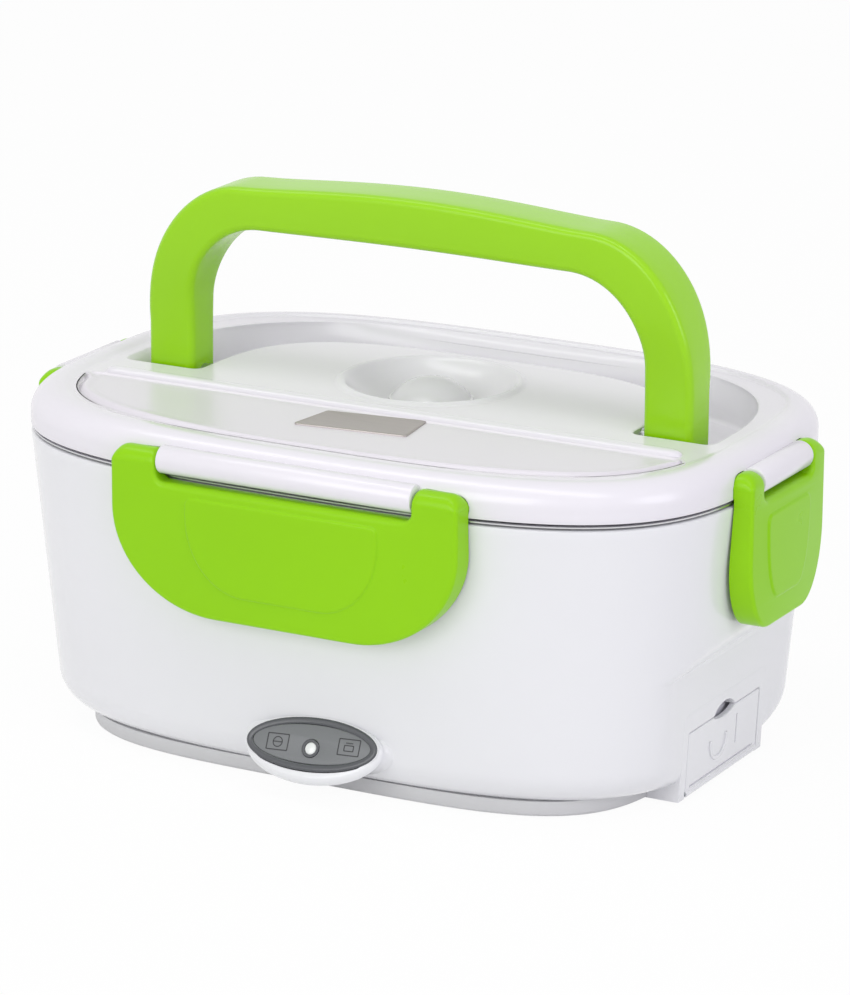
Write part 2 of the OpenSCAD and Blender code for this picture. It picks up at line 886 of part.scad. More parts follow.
// A latch as it hangs at the front, with its face at y = -face
module latch(half, face, hook_y) {
    ear = ear_w(half);
    skin_y = -face + latch_skin;
    pin = [0, -face + latch_r, latch_axis_z];
    corner_w = half > 40 ? 34 : 18;
    difference() {
        union() {
            slab(-face + 0.4, -face + 12)
                polygon(latch_outline(half, latch_bottom_z, latch_axis_z, corner_w, 30));
            slab(-face, -face + 1)
                polygon(latch_outline(half * 0.56, latch_bottom_z + 7.9, 86, corner_w * 0.56, 22));
        }
        slab(skin_y, 0)
            polygon(latch_outline(
                half - latch_skin, latch_bottom_z + latch_skin, latch_axis_z + cut, corner_w - latch_skin, 28
            ));
        children();
        latch_clearance(half, face);
    }
    difference() {
        for (end = [-1, 1])
            hull() {
                rod(latch_r, ear - 1.2, pin + [end * (half - ear / 2 - 0.6), 0, 0]);
                rod(latch_r - 1.2, ear, pin + [end * (half - ear / 2), 0, 0]);
            }
        latch_clearance(half, face);
    }
    box([-half * 0.5, skin_y - 0.2, lug_z - gap - hook_t], [half * 0.5, -hook_y, lug_z - gap]);
}

// The notch round the lid's barrel, and the bore for the pin
module latch_clearance(half, face) {
    inside = half - ear_w(half);
    box([-inside, -face - cut, notch_z], [inside, 0, 110]);
    rod(latch_pin_d / 2 + slip, 2 * half - 2.4, [0, -face + latch_r, latch_axis_z]);
}

// The room that the casing, the container's rim and the lid take behind a latch
module latch_back_space() {
    prism(outline(lid_a + gap, lid_b + gap), 40, 110);
}

module long_latch_piece() {
    color("yellowgreen")
    latch(long_latch, overall_w / 2, lid_b - 0.4) latch_back_space();
}

module short_latch_piece() {
    color("yellowgreen")
    latch(short_latch, overall_l / 2, lid_a - 0.3) rotate([0, 0, 90]) latch_back_space();
}

module latch_front() {
    long_latch_piece();
}

module latch_back() {
    rotate([0, 0, 180]) long_latch_piece();
}

module latch_left() {
    rotate([0, 0, -90]) short_latch_piece();
}

module latch_right() {
    rotate([0, 0, 90]) short_latch_piece();
}

// ---- vent plug, spoon and its cover ----

module vent_plug() {
    color("whitesmoke")
    translate([vent_at[0], vent_at[1], 0]) {
        intersection() {
            translate([0, 0, 102.4 - 15]) sphere(r = 15);
            translate([0, 0, 95.4]) cylinder(r = 13, h = 10);
        }
        translate([0, 0, 88.5]) cylinder(d = vent_stem_d, h = 8);
        translate([0, 0, 88.5]) cylinder(d = vent_stem_d + 0.3, h = 1);
    }
}

module vent_seal() {
    color("darkgray")
    translate([vent_at[0], vent_at[1], 94])
        difference() {
            cylinder(r = 8, h = 1.4);
            translate([0, 0, -cut]) cylinder(d = vent_stem_d, h = 4);
        }
}

module spoon_cover() {
    color("aliceblue", 0.5)
    difference() {
        prism(cover_edge(-0.1), cover_z + 0.1, cover_z + 0.1 + cover_t);
        prism(cover_edge(-5), cover_z, cover_z + 0.9);
        translate([8, spoon_y - spoon_depth + 1, 100]) cylinder(r = 2.2, h = 3);
    }
}

module name_plate() {
    color("rosybrown")
    translate([0, -37.2, cover_z + cover_t + 0.1])
        rotate([0, 0, 7])
            block([16.4, 8.8], 0, 0.4);
}

module spoon() {
    color("lightgray") {
        difference() {
            intersection() {
                translate([spoon_at[0], spoon_at[1], 151]) sphere(r = 60);
                translate([spoon_at[0], spoon_at[1], 90]) linear_extrude(9) oval(26, 14);
            }
            translate([spoon_at[0], spoon_at[1], 151]) sphere(r = 58.8);
        }
        box([-25, spoon_at[1] - 3, 95.8], [66, spoon_at[1] + 3, 97.2]);
    }
}

outer_casing();
heating_basin();
bottom_cover();
rubber_feet();
case_screws();
heater_plate();
heating_element();
element_clamp();
clamp_screws();
thermostat();
thermal_fuse();
wire_live();
wire_neutral();
wire_lamp();
inlet_housing();
inlet_pins();
inlet_door();
door_pin();
lamp_bezel();
lamp_panel();
lamp_lens();
lamp_board();
food_container();
side_tray();
lid_shell();
lid_gasket();
handle();
handle_pins();
latch_pins();
latch_front();
latch_back();
latch_left();
latch_right();
vent_plug();
vent_seal();
spoon_cover();
name_plate();
spoon();
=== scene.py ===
# %% [markdown]
# # An electric lunch box
# This notebook dresses a portable electric lunch box: a glossy white casing that warms a steel
# container, a white lid with a steam vent and a spoon compartment, four green latches and a green
# carry handle. The measured solids come from a imported model, and every piece made here sits where
# the solid that it stands for sits. We start by loading that model.

# %% Load the measured model
import json
from math import asin, copysign, cos, dist, hypot, pi, radians, sin, sqrt, tan

import bpy
import bmesh
from mathutils import Matrix, Vector
from mathutils.geometry import tessellate_polygon


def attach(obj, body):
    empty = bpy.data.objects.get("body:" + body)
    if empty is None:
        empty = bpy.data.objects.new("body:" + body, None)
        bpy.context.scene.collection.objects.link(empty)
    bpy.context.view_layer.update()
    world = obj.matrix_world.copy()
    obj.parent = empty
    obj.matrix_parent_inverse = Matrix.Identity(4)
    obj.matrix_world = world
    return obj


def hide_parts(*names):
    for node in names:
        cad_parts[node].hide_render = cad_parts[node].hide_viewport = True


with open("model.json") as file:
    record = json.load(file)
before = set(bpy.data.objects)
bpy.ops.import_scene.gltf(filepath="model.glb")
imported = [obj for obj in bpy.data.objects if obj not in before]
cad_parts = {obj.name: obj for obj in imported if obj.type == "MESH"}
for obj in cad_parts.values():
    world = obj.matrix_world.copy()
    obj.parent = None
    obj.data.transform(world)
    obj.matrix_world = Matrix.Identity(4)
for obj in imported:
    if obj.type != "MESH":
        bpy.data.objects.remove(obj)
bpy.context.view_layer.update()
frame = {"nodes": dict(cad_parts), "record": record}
MM = 0.001


# %% Helpers for objects and shader nodes
def new_object(name, data):
    made = bpy.data.objects.new(name, data)
    bpy.context.scene.collection.objects.link(made)
    return made


def add_node(tree, kind, inputs=None, **settings):
    """A shader node; each of its inputs is given a value, or a socket to link."""
    node = tree.nodes.new("ShaderNode" + kind)
    for name, value in settings.items():
        setattr(node, name, value)
    for name, value in (inputs or {}).items():
        if isinstance(value, bpy.types.NodeSocket):
            tree.links.new(value, node.inputs[name])
        else:
            node.inputs[name].default_value = value
    return node


def seen_by(tree, *kinds):
    """A socket that is 1 for rays of these kinds and 0 for all others."""
    rays = add_node(tree, "LightPath").outputs
    found = rays[f"Is {kinds[0]} Ray"]
    for kind in kinds[1:]:
        found = add_node(tree, "Math", {0: found, 1: rays[f"Is {kind} Ray"]}, operation="MAXIMUM").outputs[0]
    return found


# %% [markdown]
# ## The camera
# The picture was taken from the front and a little to the right, from one and a half metres, with a
# long lens, which keeps parallel edges nearly parallel. The camera is made first, so that the rest
# can be judged from the right place.

# %% Place the camera
CAMERA_AT = Vector((0.670318, -1.251999, 0.486307))
LOOK_RIGHT = Vector((0.88087, 0.47331, 0.00702))
LOOK_UP = Vector((-0.13934, 0.24510, 0.95943))
LOOK_BACK = Vector((0.45239, -0.84611, 0.28185))
FOCAL_PIXELS, LONG_SIDE_PIXELS, SENSOR = 5000, 995, 36.0

camera = new_object("photo_camera", bpy.data.cameras.new("photo_camera"))
camera.data.sensor_width = SENSOR
camera.data.lens = FOCAL_PIXELS / LONG_SIDE_PIXELS * SENSOR
facing = Matrix((LOOK_RIGHT, LOOK_UP, LOOK_BACK)).transposed().to_4x4()
camera.matrix_world = Matrix.Translation(CAMERA_AT) @ facing
bpy.context.scene.camera = camera
print("lens", round(camera.data.lens, 1), "mm")

# %% [markdown]
# ## Light and background
# Glossy plastic is mostly seen through what it reflects. Two large soft lamps and a long strip
# overhead give it broad highlights and a bright line on every rounded rim. The background is white
# only for the camera and for rays that were reflected or went through, so the room itself can stay
# darker and the white plastic keeps some shape.

# %% Build the room
ROOM_LIGHT = 0.58
WHITE = (1, 1, 1, 1)

world = bpy.data.worlds.new("white_room")
bpy.context.scene.world = world
world.use_nodes = True
room = world.node_tree
room.nodes.clear()
plain = add_node(room, "Background", {"Color": WHITE, "Strength": ROOM_LIGHT}).outputs[0]
white = add_node(room, "Background", {"Color": WHITE}).outputs[0]
backdrop = add_node(room, "MixShader", {0: seen_by(room, "Camera", "Glossy", "Transmission"), 1: plain, 2: white})
add_node(room, "OutputWorld", {0: backdrop.outputs[0]})
bpy.context.scene.view_settings.view_transform = "Standard"


def soft_lamp(name, place, aim, size, power, colour=(1, 1, 1)):
    """A lamp of that many metres, at a place, pointing at another."""
    lamp = bpy.data.lights.new(name, "AREA")
    lamp.shape = "RECTANGLE"
    lamp.size, lamp.size_y = size
    lamp.energy, lamp.color = power, colour
    holder = new_object(name, lamp)
    holder.location = place
    holder.rotation_euler = (Vector(aim) - Vector(place)).to_track_quat("-Z", "Y").to_euler()


soft_lamp("front_lamp", (-0.2, -1.6, 0.75), (0, 0, 0.06), (1.2, 0.9), 8.7)
soft_lamp("right_lamp", (1.5, -0.2, 0.6), (0, 0, 0.07), (0.7, 0.9), 5.2, (0.92, 0.9, 1.0))
soft_lamp("overhead_strip", (-0.1, -0.3, 1.2), (0, 0, 0.1), (1.7, 0.26), 4.2)

# %% [markdown]
# ## Finishes that several materials share
# Moulded plastic is never perfectly even: its gloss drifts a little and its surface has a faint
# waviness, called orange peel, that bends reflections. Sheet steel has long brushed lines. Each
# effect is built once as a node group, and each material uses it with its own numbers.


# %% Helpers for node groups
def new_group(name, inputs):
    """A node group with these inputs, and Colour, Roughness and Height to give out."""
    group = bpy.data.node_groups.new(name, "ShaderNodeTree")
    for socket, value in inputs.items():
        kind = "NodeSocketColor" if isinstance(value, tuple) else "NodeSocketFloat"
        group.interface.new_socket(socket, in_out="INPUT", socket_type=kind).default_value = value
    for socket, kind in (("Colour", "Color"), ("Roughness", "Float"), ("Height", "Float")):
        group.interface.new_socket(socket, in_out="OUTPUT", socket_type="NodeSocket" + kind)
    return group, group.nodes.new("NodeGroupInput").outputs


def noise(tree, place, scale, detail=2.0):
    return add_node(tree, "TexNoise", {"Detail": detail, "Vector": place, "Scale": scale}).outputs["Fac"]


def give_out(group, given, colour, uneven, height):
    """Ends a group: its gloss is the given roughness plus a share of an uneven value."""
    spread = add_node(group, "Math", {0: uneven, 1: given["Roughness Spread"], 2: given["Roughness"]},
                      operation="MULTIPLY_ADD")
    result = group.nodes.new("NodeGroupOutput")
    for name, socket in (("Colour", colour), ("Roughness", spread.outputs[0]), ("Height", height)):
        group.links.new(socket, result.inputs[name])
    print(group.name, [s.name for s in group.interface.items_tree])


# %% The moulded plastic effect
moulded, given = new_group("moulded_surface", {
    "Colour": (0.8, 0.8, 0.8, 1), "Drift": 0.03, "Roughness": 0.2, "Roughness Spread": 0.06, "Peel Scale": 260.0})
place = add_node(moulded, "TexCoord").outputs["Object"]
darkest = add_node(moulded, "Math", {0: 1.0, 1: given["Drift"]}, operation="SUBTRACT").outputs[0]
drift = add_node(moulded, "MapRange", {"Value": noise(moulded, place, 14.0, 3.0), "From Min": 0.3, "From Max": 0.7,
                                       "To Min": darkest, "To Max": 1.0}).outputs["Result"]
tone = add_node(moulded, "Mix", {"Factor": 1.0, "A": given["Colour"], "B": drift},
                data_type="RGBA", blend_type="MULTIPLY")
give_out(moulded, given, tone.outputs["Result"], noise(moulded, place, 60.0, 4.0),
         noise(moulded, place, given["Peel Scale"]))

# %% The brushed metal effect
brushed, given = new_group("brushed_lines", {
    "Dark": (0.5, 0.5, 0.5, 1), "Light": (0.7, 0.7, 0.7, 1), "Roughness": 0.3, "Roughness Spread": 0.15,
    "Line Scale": 1400.0})
place = add_node(brushed, "TexCoord").outputs["Object"]
stretched = add_node(brushed, "VectorMath", {0: place, 1: (0.015, 1.0, 1.0)}, operation="MULTIPLY")
lines = noise(brushed, stretched.outputs[0], given["Line Scale"], 3.0)
blend = add_node(brushed, "Mix", {"Factor": lines, "A": given["Dark"], "B": given["Light"]}, data_type="RGBA")
give_out(brushed, given, blend.outputs["Result"], lines, lines)

# %% [markdown]
# ## The materials
# Colours are written in the usual 0 to 255 numbers and turned into the linear light that the
# renderer works in. The shader stays in each material, with its constant numbers on its own
# sockets; only what changes over the surface comes from the groups.

# %% Helpers for materials
finish = {}


def linear(rgb):
    """A colour of 0 to 255, as linear light."""
    shares = [v / 255 for v in rgb]
    return tuple(v / 12.92 if v <= 0.04045 else ((v + 0.055) / 1.055) ** 2.4 for v in shares) + (1.0,)


def material_from(group, name, settings, bump, bump_distance, **shader_values):
    """A material whose colour, roughness and bump come from a group."""
    made = finish[name] = bpy.data.materials.new(name)
    made.use_nodes = True
    tree = made.node_tree
    shader = tree.nodes["Principled BSDF"]
    effect = add_node(tree, "Group", settings, node_tree=group).outputs
    raised = add_node(tree, "Bump", {"Strength": bump, "Distance": bump_distance, "Height": effect["Height"]})
    for name, socket in (("Base Color", effect["Colour"]), ("Roughness", effect["Roughness"]),
                         ("Normal", raised.outputs["Normal"])):
        tree.links.new(socket, shader.inputs[name])
    for name, value in shader_values.items():
        shader.inputs[name.replace("_", " ")].default_value = value


def plastic(name, rgb, roughness=0.2, drift=0.02, spread=0.05, peel=260.0, bump=0.05, **values):
    material_from(moulded, name, {"Colour": linear(rgb), "Drift": drift, "Roughness": roughness,
                        "Roughness Spread": spread, "Peel Scale": peel}, bump, 0.0002, **values)


def metal(name, dark, light, roughness=0.3, spread=0.15, lines=1400.0, bump=0.08):
    material_from(brushed, name, {"Dark": linear(dark), "Light": linear(light), "Roughness": roughness,
                        "Roughness Spread": spread, "Line Scale": lines}, bump, 0.00005, Metallic=1.0)


# %% Mix the materials
plastic("casing_white", (230, 230, 234), 0.16, Coat_Weight=0.25, Coat_Roughness=0.04)
plastic("lid_white", (231, 228, 235), 0.22, Coat_Weight=0.15, Coat_Roughness=0.08)
plastic("basin_grey", (221, 221, 223), 0.38, bump=0.1)
plastic("base_grey", (208, 208, 210), 0.4, bump=0.1)
plastic("foot_rubber", (66, 66, 68), 0.75, spread=0.15, peel=900.0, bump=0.25)
metal("screw_steel", (158, 160, 165), (205, 207, 210), 0.28, 0.1, 2600.0)
metal("heater_aluminium", (190, 192, 196), (228, 229, 231), 0.34, 0.14)
plastic("phenolic_dark", (62, 56, 54), 0.45, 0.12, 0.15, 700.0, 0.2)
plastic("fuse_sleeve", (226, 222, 208), 0.7, 0.1, 0.15, 2500.0, 0.5)
plastic("wire_brown", (122, 84, 60), 0.35, 0.08)
plastic("wire_blue", (66, 112, 186), 0.35, 0.08)
plastic("wire_red", (186, 62, 54), 0.35, 0.08)
plastic("inlet_white", (214, 214, 220), 0.42, bump=0.12)
metal("pin_brass", (196, 164, 96), (232, 206, 140), 0.24, 0.1, 2600.0)
plastic("bezel_dark", (74, 76, 81), 0.24, 0.06, Coat_Weight=0.3)
plastic("panel_grey", (118, 120, 123), 0.42, 0.04, 0.06, 1800.0, 0.1)
plastic("lens_milky", (232, 234, 234), 0.1, 0.03, Coat_Weight=0.5)
plastic("board_green", (44, 128, 80), 0.45, 0.15, 0.2, 900.0, 0.2)
metal("tray_steel", (196, 196, 199), (224, 224, 226), 0.24, 0.12)
plastic("gasket_silicone", (216, 217, 219), 0.5, 0.04, 0.1, 500.0, 0.12)
plastic("handle_green", (151, 212, 10), 0.22, 0.03, IOR=1.4, Coat_Weight=0.08, Coat_Roughness=0.1)
plastic("latch_green", (144, 208, 4), 0.26, 0.04, IOR=1.3, Coat_Weight=0.04, Coat_Roughness=0.12)
plastic("vent_white", (230, 227, 234), 0.2, Coat_Weight=0.1)
plastic("cover_clear", (226, 222, 229), 0.3, 0.03, Coat_Weight=0.1, Coat_Roughness=0.15)
metal("plate_satin", (160, 153, 152), (184, 177, 176), 0.36, 0.14, 1900.0)
plastic("spoon_white", (226, 226, 228), 0.24)
plastic("print_dark", (48, 49, 52), 0.45, 0.06)
print("materials:", len(finish))

# %% Give every kept solid its material
slot_of = {part["node"]: part["material_slot"] for part in frame["record"]["subparts"]}
for node_name, solid in frame["nodes"].items():
    solid.data.materials.clear()
    solid.data.materials.append(finish[slot_of[node_name]])
    solid.data.polygons.foreach_set("material_index", [0] * len(solid.data.polygons))
print("solids dressed:", len(slot_of))

# %% [markdown]
# ## Mesh tools
# Almost everything on this box is a smooth outline that is lifted, rounded over and filled. So a
# loop of points is set in by small steps while its height changes, which gives a true rounded edge,
# and the flat areas between loops are filled with triangles. Modelling by hand would give the same
# surfaces, but numbers keep them exact.

# %% Curves
SQUARENESS = 3.24


def power(value, exponent):
    return copysign(abs(value) ** exponent, value)


def quarter(steps):
    """The angles of a quarter turn, from 0."""
    return [pi / 2 * k / steps for k in range(steps + 1)]


def ease(value):
    """Rises softly from 0 to 1 while the value does."""
    value = min(1.0, max(0.0, value))
    return value * value * (3 - 2 * value)


def corner_loss(radius, from_end):
    """How much a rounded corner takes off, at a distance from its end."""
    return radius - sqrt(max(radius ** 2 - max(radius - from_end, 0.0) ** 2, 0.0))


def even(points, count, closed=True):
    """The same line with evenly spaced points."""
    line = points + [points[0]] if closed else points
    reach = [0.0]
    for a, b in zip(line, line[1:]):
        reach.append(reach[-1] + dist(a, b))
    spaced, k = [], 0
    for i in range(count):
        goal = reach[-1] * i / (count if closed else count - 1)
        while k < len(line) - 2 and reach[k + 1] < goal:
            k += 1
        share = (goal - reach[k]) / max(reach[k + 1] - reach[k], 1e-9)
        spaced.append(tuple(a + (b - a) * share for a, b in zip(line[k], line[k + 1])))
    return spaced


def rounded_outline(half_length, half_depth, square=SQUARENESS, count=256):
    """The rounded shape of the box, anticlockwise; square is 2 for an ellipse, and more is boxier."""
    turn = [2 * pi * i / 2000 for i in range(2000)]
    return even([(half_length * power(cos(t), 2 / square), half_depth * power(sin(t), 2 / square))
                 for t in turn], count)


def outline_at(x, half_length, half_depth):
    """How far from the middle that rounded shape runs, at x."""
    return half_depth * (1 - min(1, abs(x) / half_length) ** SQUARENESS) ** (1 / SQUARENESS)


def half_round(half, depth, square, y0, way, low=0.0, count=120):
    """The curved side of a D, from its right end to its left; low leaves out that much at both ends."""
    start = asin(min(1, (low / depth)) ** (square / 2)) if low else 0.0
    turn = [start + (pi - 2 * start) * i / 1500 for i in range(1501)]
    return even([(half * power(cos(t), 2 / square), y0 + way * depth * power(sin(t), 2 / square))
                 for t in turn], count, closed=False)


def arc(centre, radius, first, last, count=8):
    """Points on a circle, between two angles in degrees."""
    turn = [radians(first + (last - first) * i / count) for i in range(count + 1)]
    return [(centre[0] + radius * cos(t), centre[1] + radius * sin(t)) for t in turn]


def egg(half, up, down, centre=(0, 0), count=96):
    """An oval with one height above its middle and another below it."""
    turn = [2 * pi * i / count for i in range(count)]
    return [(centre[0] + half * cos(t), centre[1] + (up if sin(t) > 0 else down) * sin(t))
            for t in turn]


def ellipse(a, b, centre=(0, 0), count=96):
    return egg(a, b, b, centre, count)


def circle(radius, centre=(0, 0), count=48):
    return egg(radius, radius, radius, centre, count)


def round_corners(corners, count=4):
    """A polygon of (x, y, radius) corners, anticlockwise, with each corner rounded."""
    loop = []
    for i, (x, y, radius) in enumerate(corners):
        here = Vector((x, y))
        before = (Vector(corners[i - 1][:2]) - here).normalized()
        after = (Vector(corners[(i + 1) % len(corners)][:2]) - here).normalized()
        reach = radius / tan(before.angle(after) / 2)
        start, end = here + before * reach, here + after * reach
        for k in range(count + 1):
            t = k / count
            loop.append(tuple(here * (2 * t * (1 - t)) + start * (1 - t) ** 2 + end * t ** 2))
    return loop


def rounded_box(x, y, half_x, half_y, radius=0.3):
    """A rectangle about a centre, with four rounded corners."""
    return round_corners([(x - half_x, y - half_y, radius), (x + half_x, y - half_y, radius),
                          (x + half_x, y + half_y, radius), (x - half_x, y + half_y, radius)])


def inset(loop, by):
    """The loop moved inwards by a distance, or by one distance for each point."""
    moved, n = [], len(loop)
    for i, (x, y) in enumerate(loop):
        px, py = loop[i - 1]
        qx, qy = loop[(i + 1) % n]
        a, b = hypot(x - px, y - py) or 1e-9, hypot(qx - x, qy - y) or 1e-9
        ax, ay, bx, by_ = (x - px) / a, (y - py) / a, (qx - x) / b, (qy - y) / b
        nx, ny = -(ay + by_), ax + bx
        size = hypot(nx, ny) or 1e-9
        nx, ny = nx / size, ny / size
        d = by[i] if isinstance(by, list) else by
        d /= max(0.6, -nx * ay + ny * ax)
        moved.append((x + nx * d, y + ny * d))
    return moved


def edge_round(radius, height, steps):
    """Steps of a rounded edge from the side up to a face: inset 0 to radius, ending at that height."""
    return [(radius * (1 - cos(t)), height - radius * (1 - sin(t))) for t in quarter(steps)]


print("curves ready")


# %% Where an outline is drawn
def on_top(u, v, height):
    """Outlines drawn from above."""
    return (u, v, height)


def on_front(u, v, height):
    """Outlines drawn from the front: u is x, v is z and height is how far it stands to the front."""
    return (u, -height, v)


def on_right(u, v, height):
    """Outlines drawn from the right end: u is y, v is z and height is x."""
    return (height, u, v)


# %% The skin: collects loops and faces, then becomes a piece
class Skin:
    def __init__(self, place=on_top):
        self.points, self.faces, self.place = [], [], place

    def ring(self, loop, height):
        """Adds a loop of points; height is one number or one for each point."""
        heights = height if isinstance(height, list) else [height] * len(loop)
        return self.raw([self.place(u, v, h) for (u, v), h in zip(loop, heights)])

    def raw(self, points):
        """Adds a loop of points in space."""
        first = len(self.points)
        self.points += points
        return list(range(first, len(self.points)))

    def stack(self, rings):
        """Bands of faces between one loop and the next. Gives the first and the last loop."""
        for a, b in zip(rings, rings[1:]):
            n = len(a)
            self.faces += [(a[i], a[(i + 1) % n], b[(i + 1) % n], b[i]) for i in range(n)]
        return rings[0], rings[-1]

    def wall(self, loop, steps, start=None):
        """A wall along a loop: each step is (inset, height)."""
        rings = [self.ring(inset(loop, by) if by else loop, height) for by, height in steps]
        return self.stack(([start] if start else []) + rings)

    def turned(self, profile, centre, count, start=None):
        """A turned shape about an upright axis: (radius, height) pairs."""
        rings = [self.ring(circle(r, centre, count), height) for r, height in profile]
        return self.stack(([start] if start else []) + rings)

    def fill(self, outer, *holes):
        """Flat triangles inside one loop and outside the others."""
        loops = [[Vector(self.points[i]) for i in ring] for ring in (outer, *holes)]
        index = [i for ring in (outer, *holes) for i in ring]
        self.faces += [tuple(index[k] for k in triangle) for triangle in tessellate_polygon(loops)]

    def close(self, *rings):
        self.faces += [tuple(ring) for ring in rings]

    def slab(self, loop, steps):
        """A wall with both its ends closed."""
        self.close(*self.wall(loop, steps))

    def pit(self, loop, steps, start=None):
        """A blind hole: a wall with its far end closed. Gives its edge."""
        edge, floor = self.wall(loop, steps, start)
        self.close(floor)
        return edge

    def loft(self, sections):
        """A closed skin over sections, each a list of points in space."""
        self.close(*self.stack([self.raw(section) for section in sections]))

    def rod(self, profile, place, count=40):
        """A turned rod: (place along it, radius) pairs, put in space by a function."""
        self.loft([[place(along, u, v) for u, v in circle(r, (0, 0), count)] for along, r in profile])

    def spin(self, angle):
        """Turns everything about the upright axis through the middle of the box."""
        turn = Matrix.Rotation(radians(angle), 3, "Z")
        self.points = [tuple(turn @ Vector(p)) for p in self.points]
        return self

    def add(self, other):
        """Takes in another skin."""
        first = len(self.points)
        self.points += other.points
        self.faces += [tuple(first + i for i in face) for face in other.faces]

    def mesh(self, name, clean=True):
        """The mesh, in metres, with its faces turned outwards."""
        made = bpy.data.meshes.new(name)
        made.from_pydata([Vector(p) * MM for p in self.points], [], self.faces)
        work = bmesh.new()
        work.from_mesh(made)
        if clean:
            bmesh.ops.remove_doubles(work, verts=work.verts, dist=1e-7)
            bmesh.ops.dissolve_degenerate(work, edges=work.edges, dist=1e-7)
        bmesh.ops.recalc_face_normals(work, faces=work.faces)
        work.to_mesh(made)
        work.free()
        return made

    def piece(self, name, slot, body, *nodes, smooth=32, finish_name=None):
        """Makes the object and puts it on its body."""
        mesh = self.mesh(name)
        mesh.shade_smooth()
        mesh.set_sharp_from_angle(angle=radians(smooth))
        mesh.materials.append(finish[finish_name or slot])
        made = new_object(name, mesh)
        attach(made, body)
        if nodes:
            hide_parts(*nodes)
        print(f"{name}: {len(mesh.vertices)} points, {len(mesh.polygons)} faces")
        return made


def carve(target, *skins):
    """Cuts shapes out of a piece, and applies the result."""
    tools = [new_object("cutter", skin.mesh("cutter", clean=False)) for skin in skins]
    for tool in tools:
        cut = target.modifiers.new("carve", "BOOLEAN")
        cut.operation, cut.solver, cut.object = "DIFFERENCE", "EXACT", tool
    bpy.context.view_layer.update()
    cut_mesh = bpy.data.meshes.new_from_object(target.evaluated_get(bpy.context.evaluated_depsgraph_get()))
    target.modifiers.clear()
    old, target.data = target.data, cut_mesh
    bpy.data.meshes.remove(old)
    for tool in tools:
        bpy.data.objects.remove(tool)
    cut_mesh.shade_smooth()
    cut_mesh.set_sharp_from_angle(angle=radians(32))
    print(target.name, "now has", len(cut_mesh.polygons), "faces")


print("mesh tools ready")

# %% [markdown]
# ## The casing
# The casing is one deep tub that leans out a little towards its rim, with a rounded bottom edge and
# a flat right end for the power inlet. It is a stack of rounded outlines; at the flat end, points
# are pulled back to a plane with a soft minimum, which leaves a gentle crease, not a knife edge.

# %% Casing
CASE_LOW, CASE_TOP, CASE_ROUND = 4.2, 89.4, 11.5
END_X, END_LEAN, CREASE = 101.3, 0.05, 2.2


def case_half(z):
    """Half the casing's length and half its depth at a height."""
    share = max(0.0, (z - CASE_LOW - CASE_ROUND) / (CASE_TOP - CASE_LOW - CASE_ROUND))
    return 106.1 + 6.9 * share, 74.0 + 5.7 * share


def soft_min(a, b):
    h = max(CREASE - abs(a - b), 0) / CREASE
    return min(a, b) - h * h * CREASE / 4


def flat_end(z):
    """How far out the flat right end lies at each height."""
    return END_X + END_LEAN * (z - 20) + 0.85 * max(0.0, z - 40)


def case_ring(z, by, cut_by):
    a, b = case_half(z)
    return [(soft_min(x, flat_end(z) - cut_by), y) for x, y in rounded_outline(a - by, b - by, count=320)]


case = Skin()
steps = [(CASE_LOW + CASE_ROUND * (1 - cos(t)), CASE_ROUND * (1 - sin(t)), 0) for t in quarter(12)]
steps += [(z, 0, 0) for z in (17, 20, 24, 30, 36, 38.4, 39.4, 40, 40.6, 41.4, 42.4, 43.6, 45, 46.5, 48, 49.5, 51, 54,
                              60, 70, 80, 86, 88.2)]
steps += [(z, by, 0) for z, by in ((88.6, 0.12), (88.85, 0.4), (88.95, 0.8), (88.95, 2.2), (88.4, 2.4))]
steps += [(z, by, 1.4) for z, by in ((80, 2.4), (46, 2.4), (36, 2.4), (21, 2.4), (15, 2.4), (10, 4.4), (6.6, 11.9))]
rings = [case.ring(case_ring(*step), step[0]) for step in steps]
rings += [case.ring(rounded_outline(86, 60, 4, 320), z) for z in (6.6, CASE_LOW)]
case.stack(rings + rings[:1])
case_piece = case.piece("case_shell", "casing_white", "base", "outer_casing")

# %% [markdown]
# The tub needs an opening for the inlet at its right end. A boolean modifier cuts it, and is then
# applied, so that the finished mesh holds the result.

# %% Cut the inlet opening
INLET_Y = -3.0
opening = Skin(on_right)
opening.slab([(INLET_Y + u, v) for u, v in ((-25.4, -2), (25.4, -2), (25.4, 25), (-25.4, 25))], [(0, 96), (0, 112)])
carve(case_piece, opening)

# %% [markdown]
# ## The boss round the lamp panel
# The lamp panel leans back, so that it can be read from above, but the wall is nearly upright. So a
# boss swells out of the wall and carries the panel. Its face has a rounded edge, and a soft curve
# runs from there out to a larger oval on the wall.

# %% Lamp boss
PANEL_AT = Vector((7.0, -78.8, 16.9))
PANEL_L, PANEL_H = 21.0, 7.9
PANEL_TURN = Matrix.Rotation(radians(-30), 3, "X") @ Matrix.Rotation(radians(-3.5), 3, "Y")
PAD_ROUND, PAD_FACE = 2.2, -0.02


def on_panel(u, v, height):
    """Outlines drawn on the leaning face; height is how far it stands out from that face."""
    return tuple(PANEL_AT + PANEL_TURN @ Vector((u, -height, v)))


def wall_depth(x, z):
    """How far in front of the middle the tub's front wall lies there."""
    return outline_at(x, 106, case_half(z)[1] - corner_loss(CASE_ROUND, z - CASE_LOW))


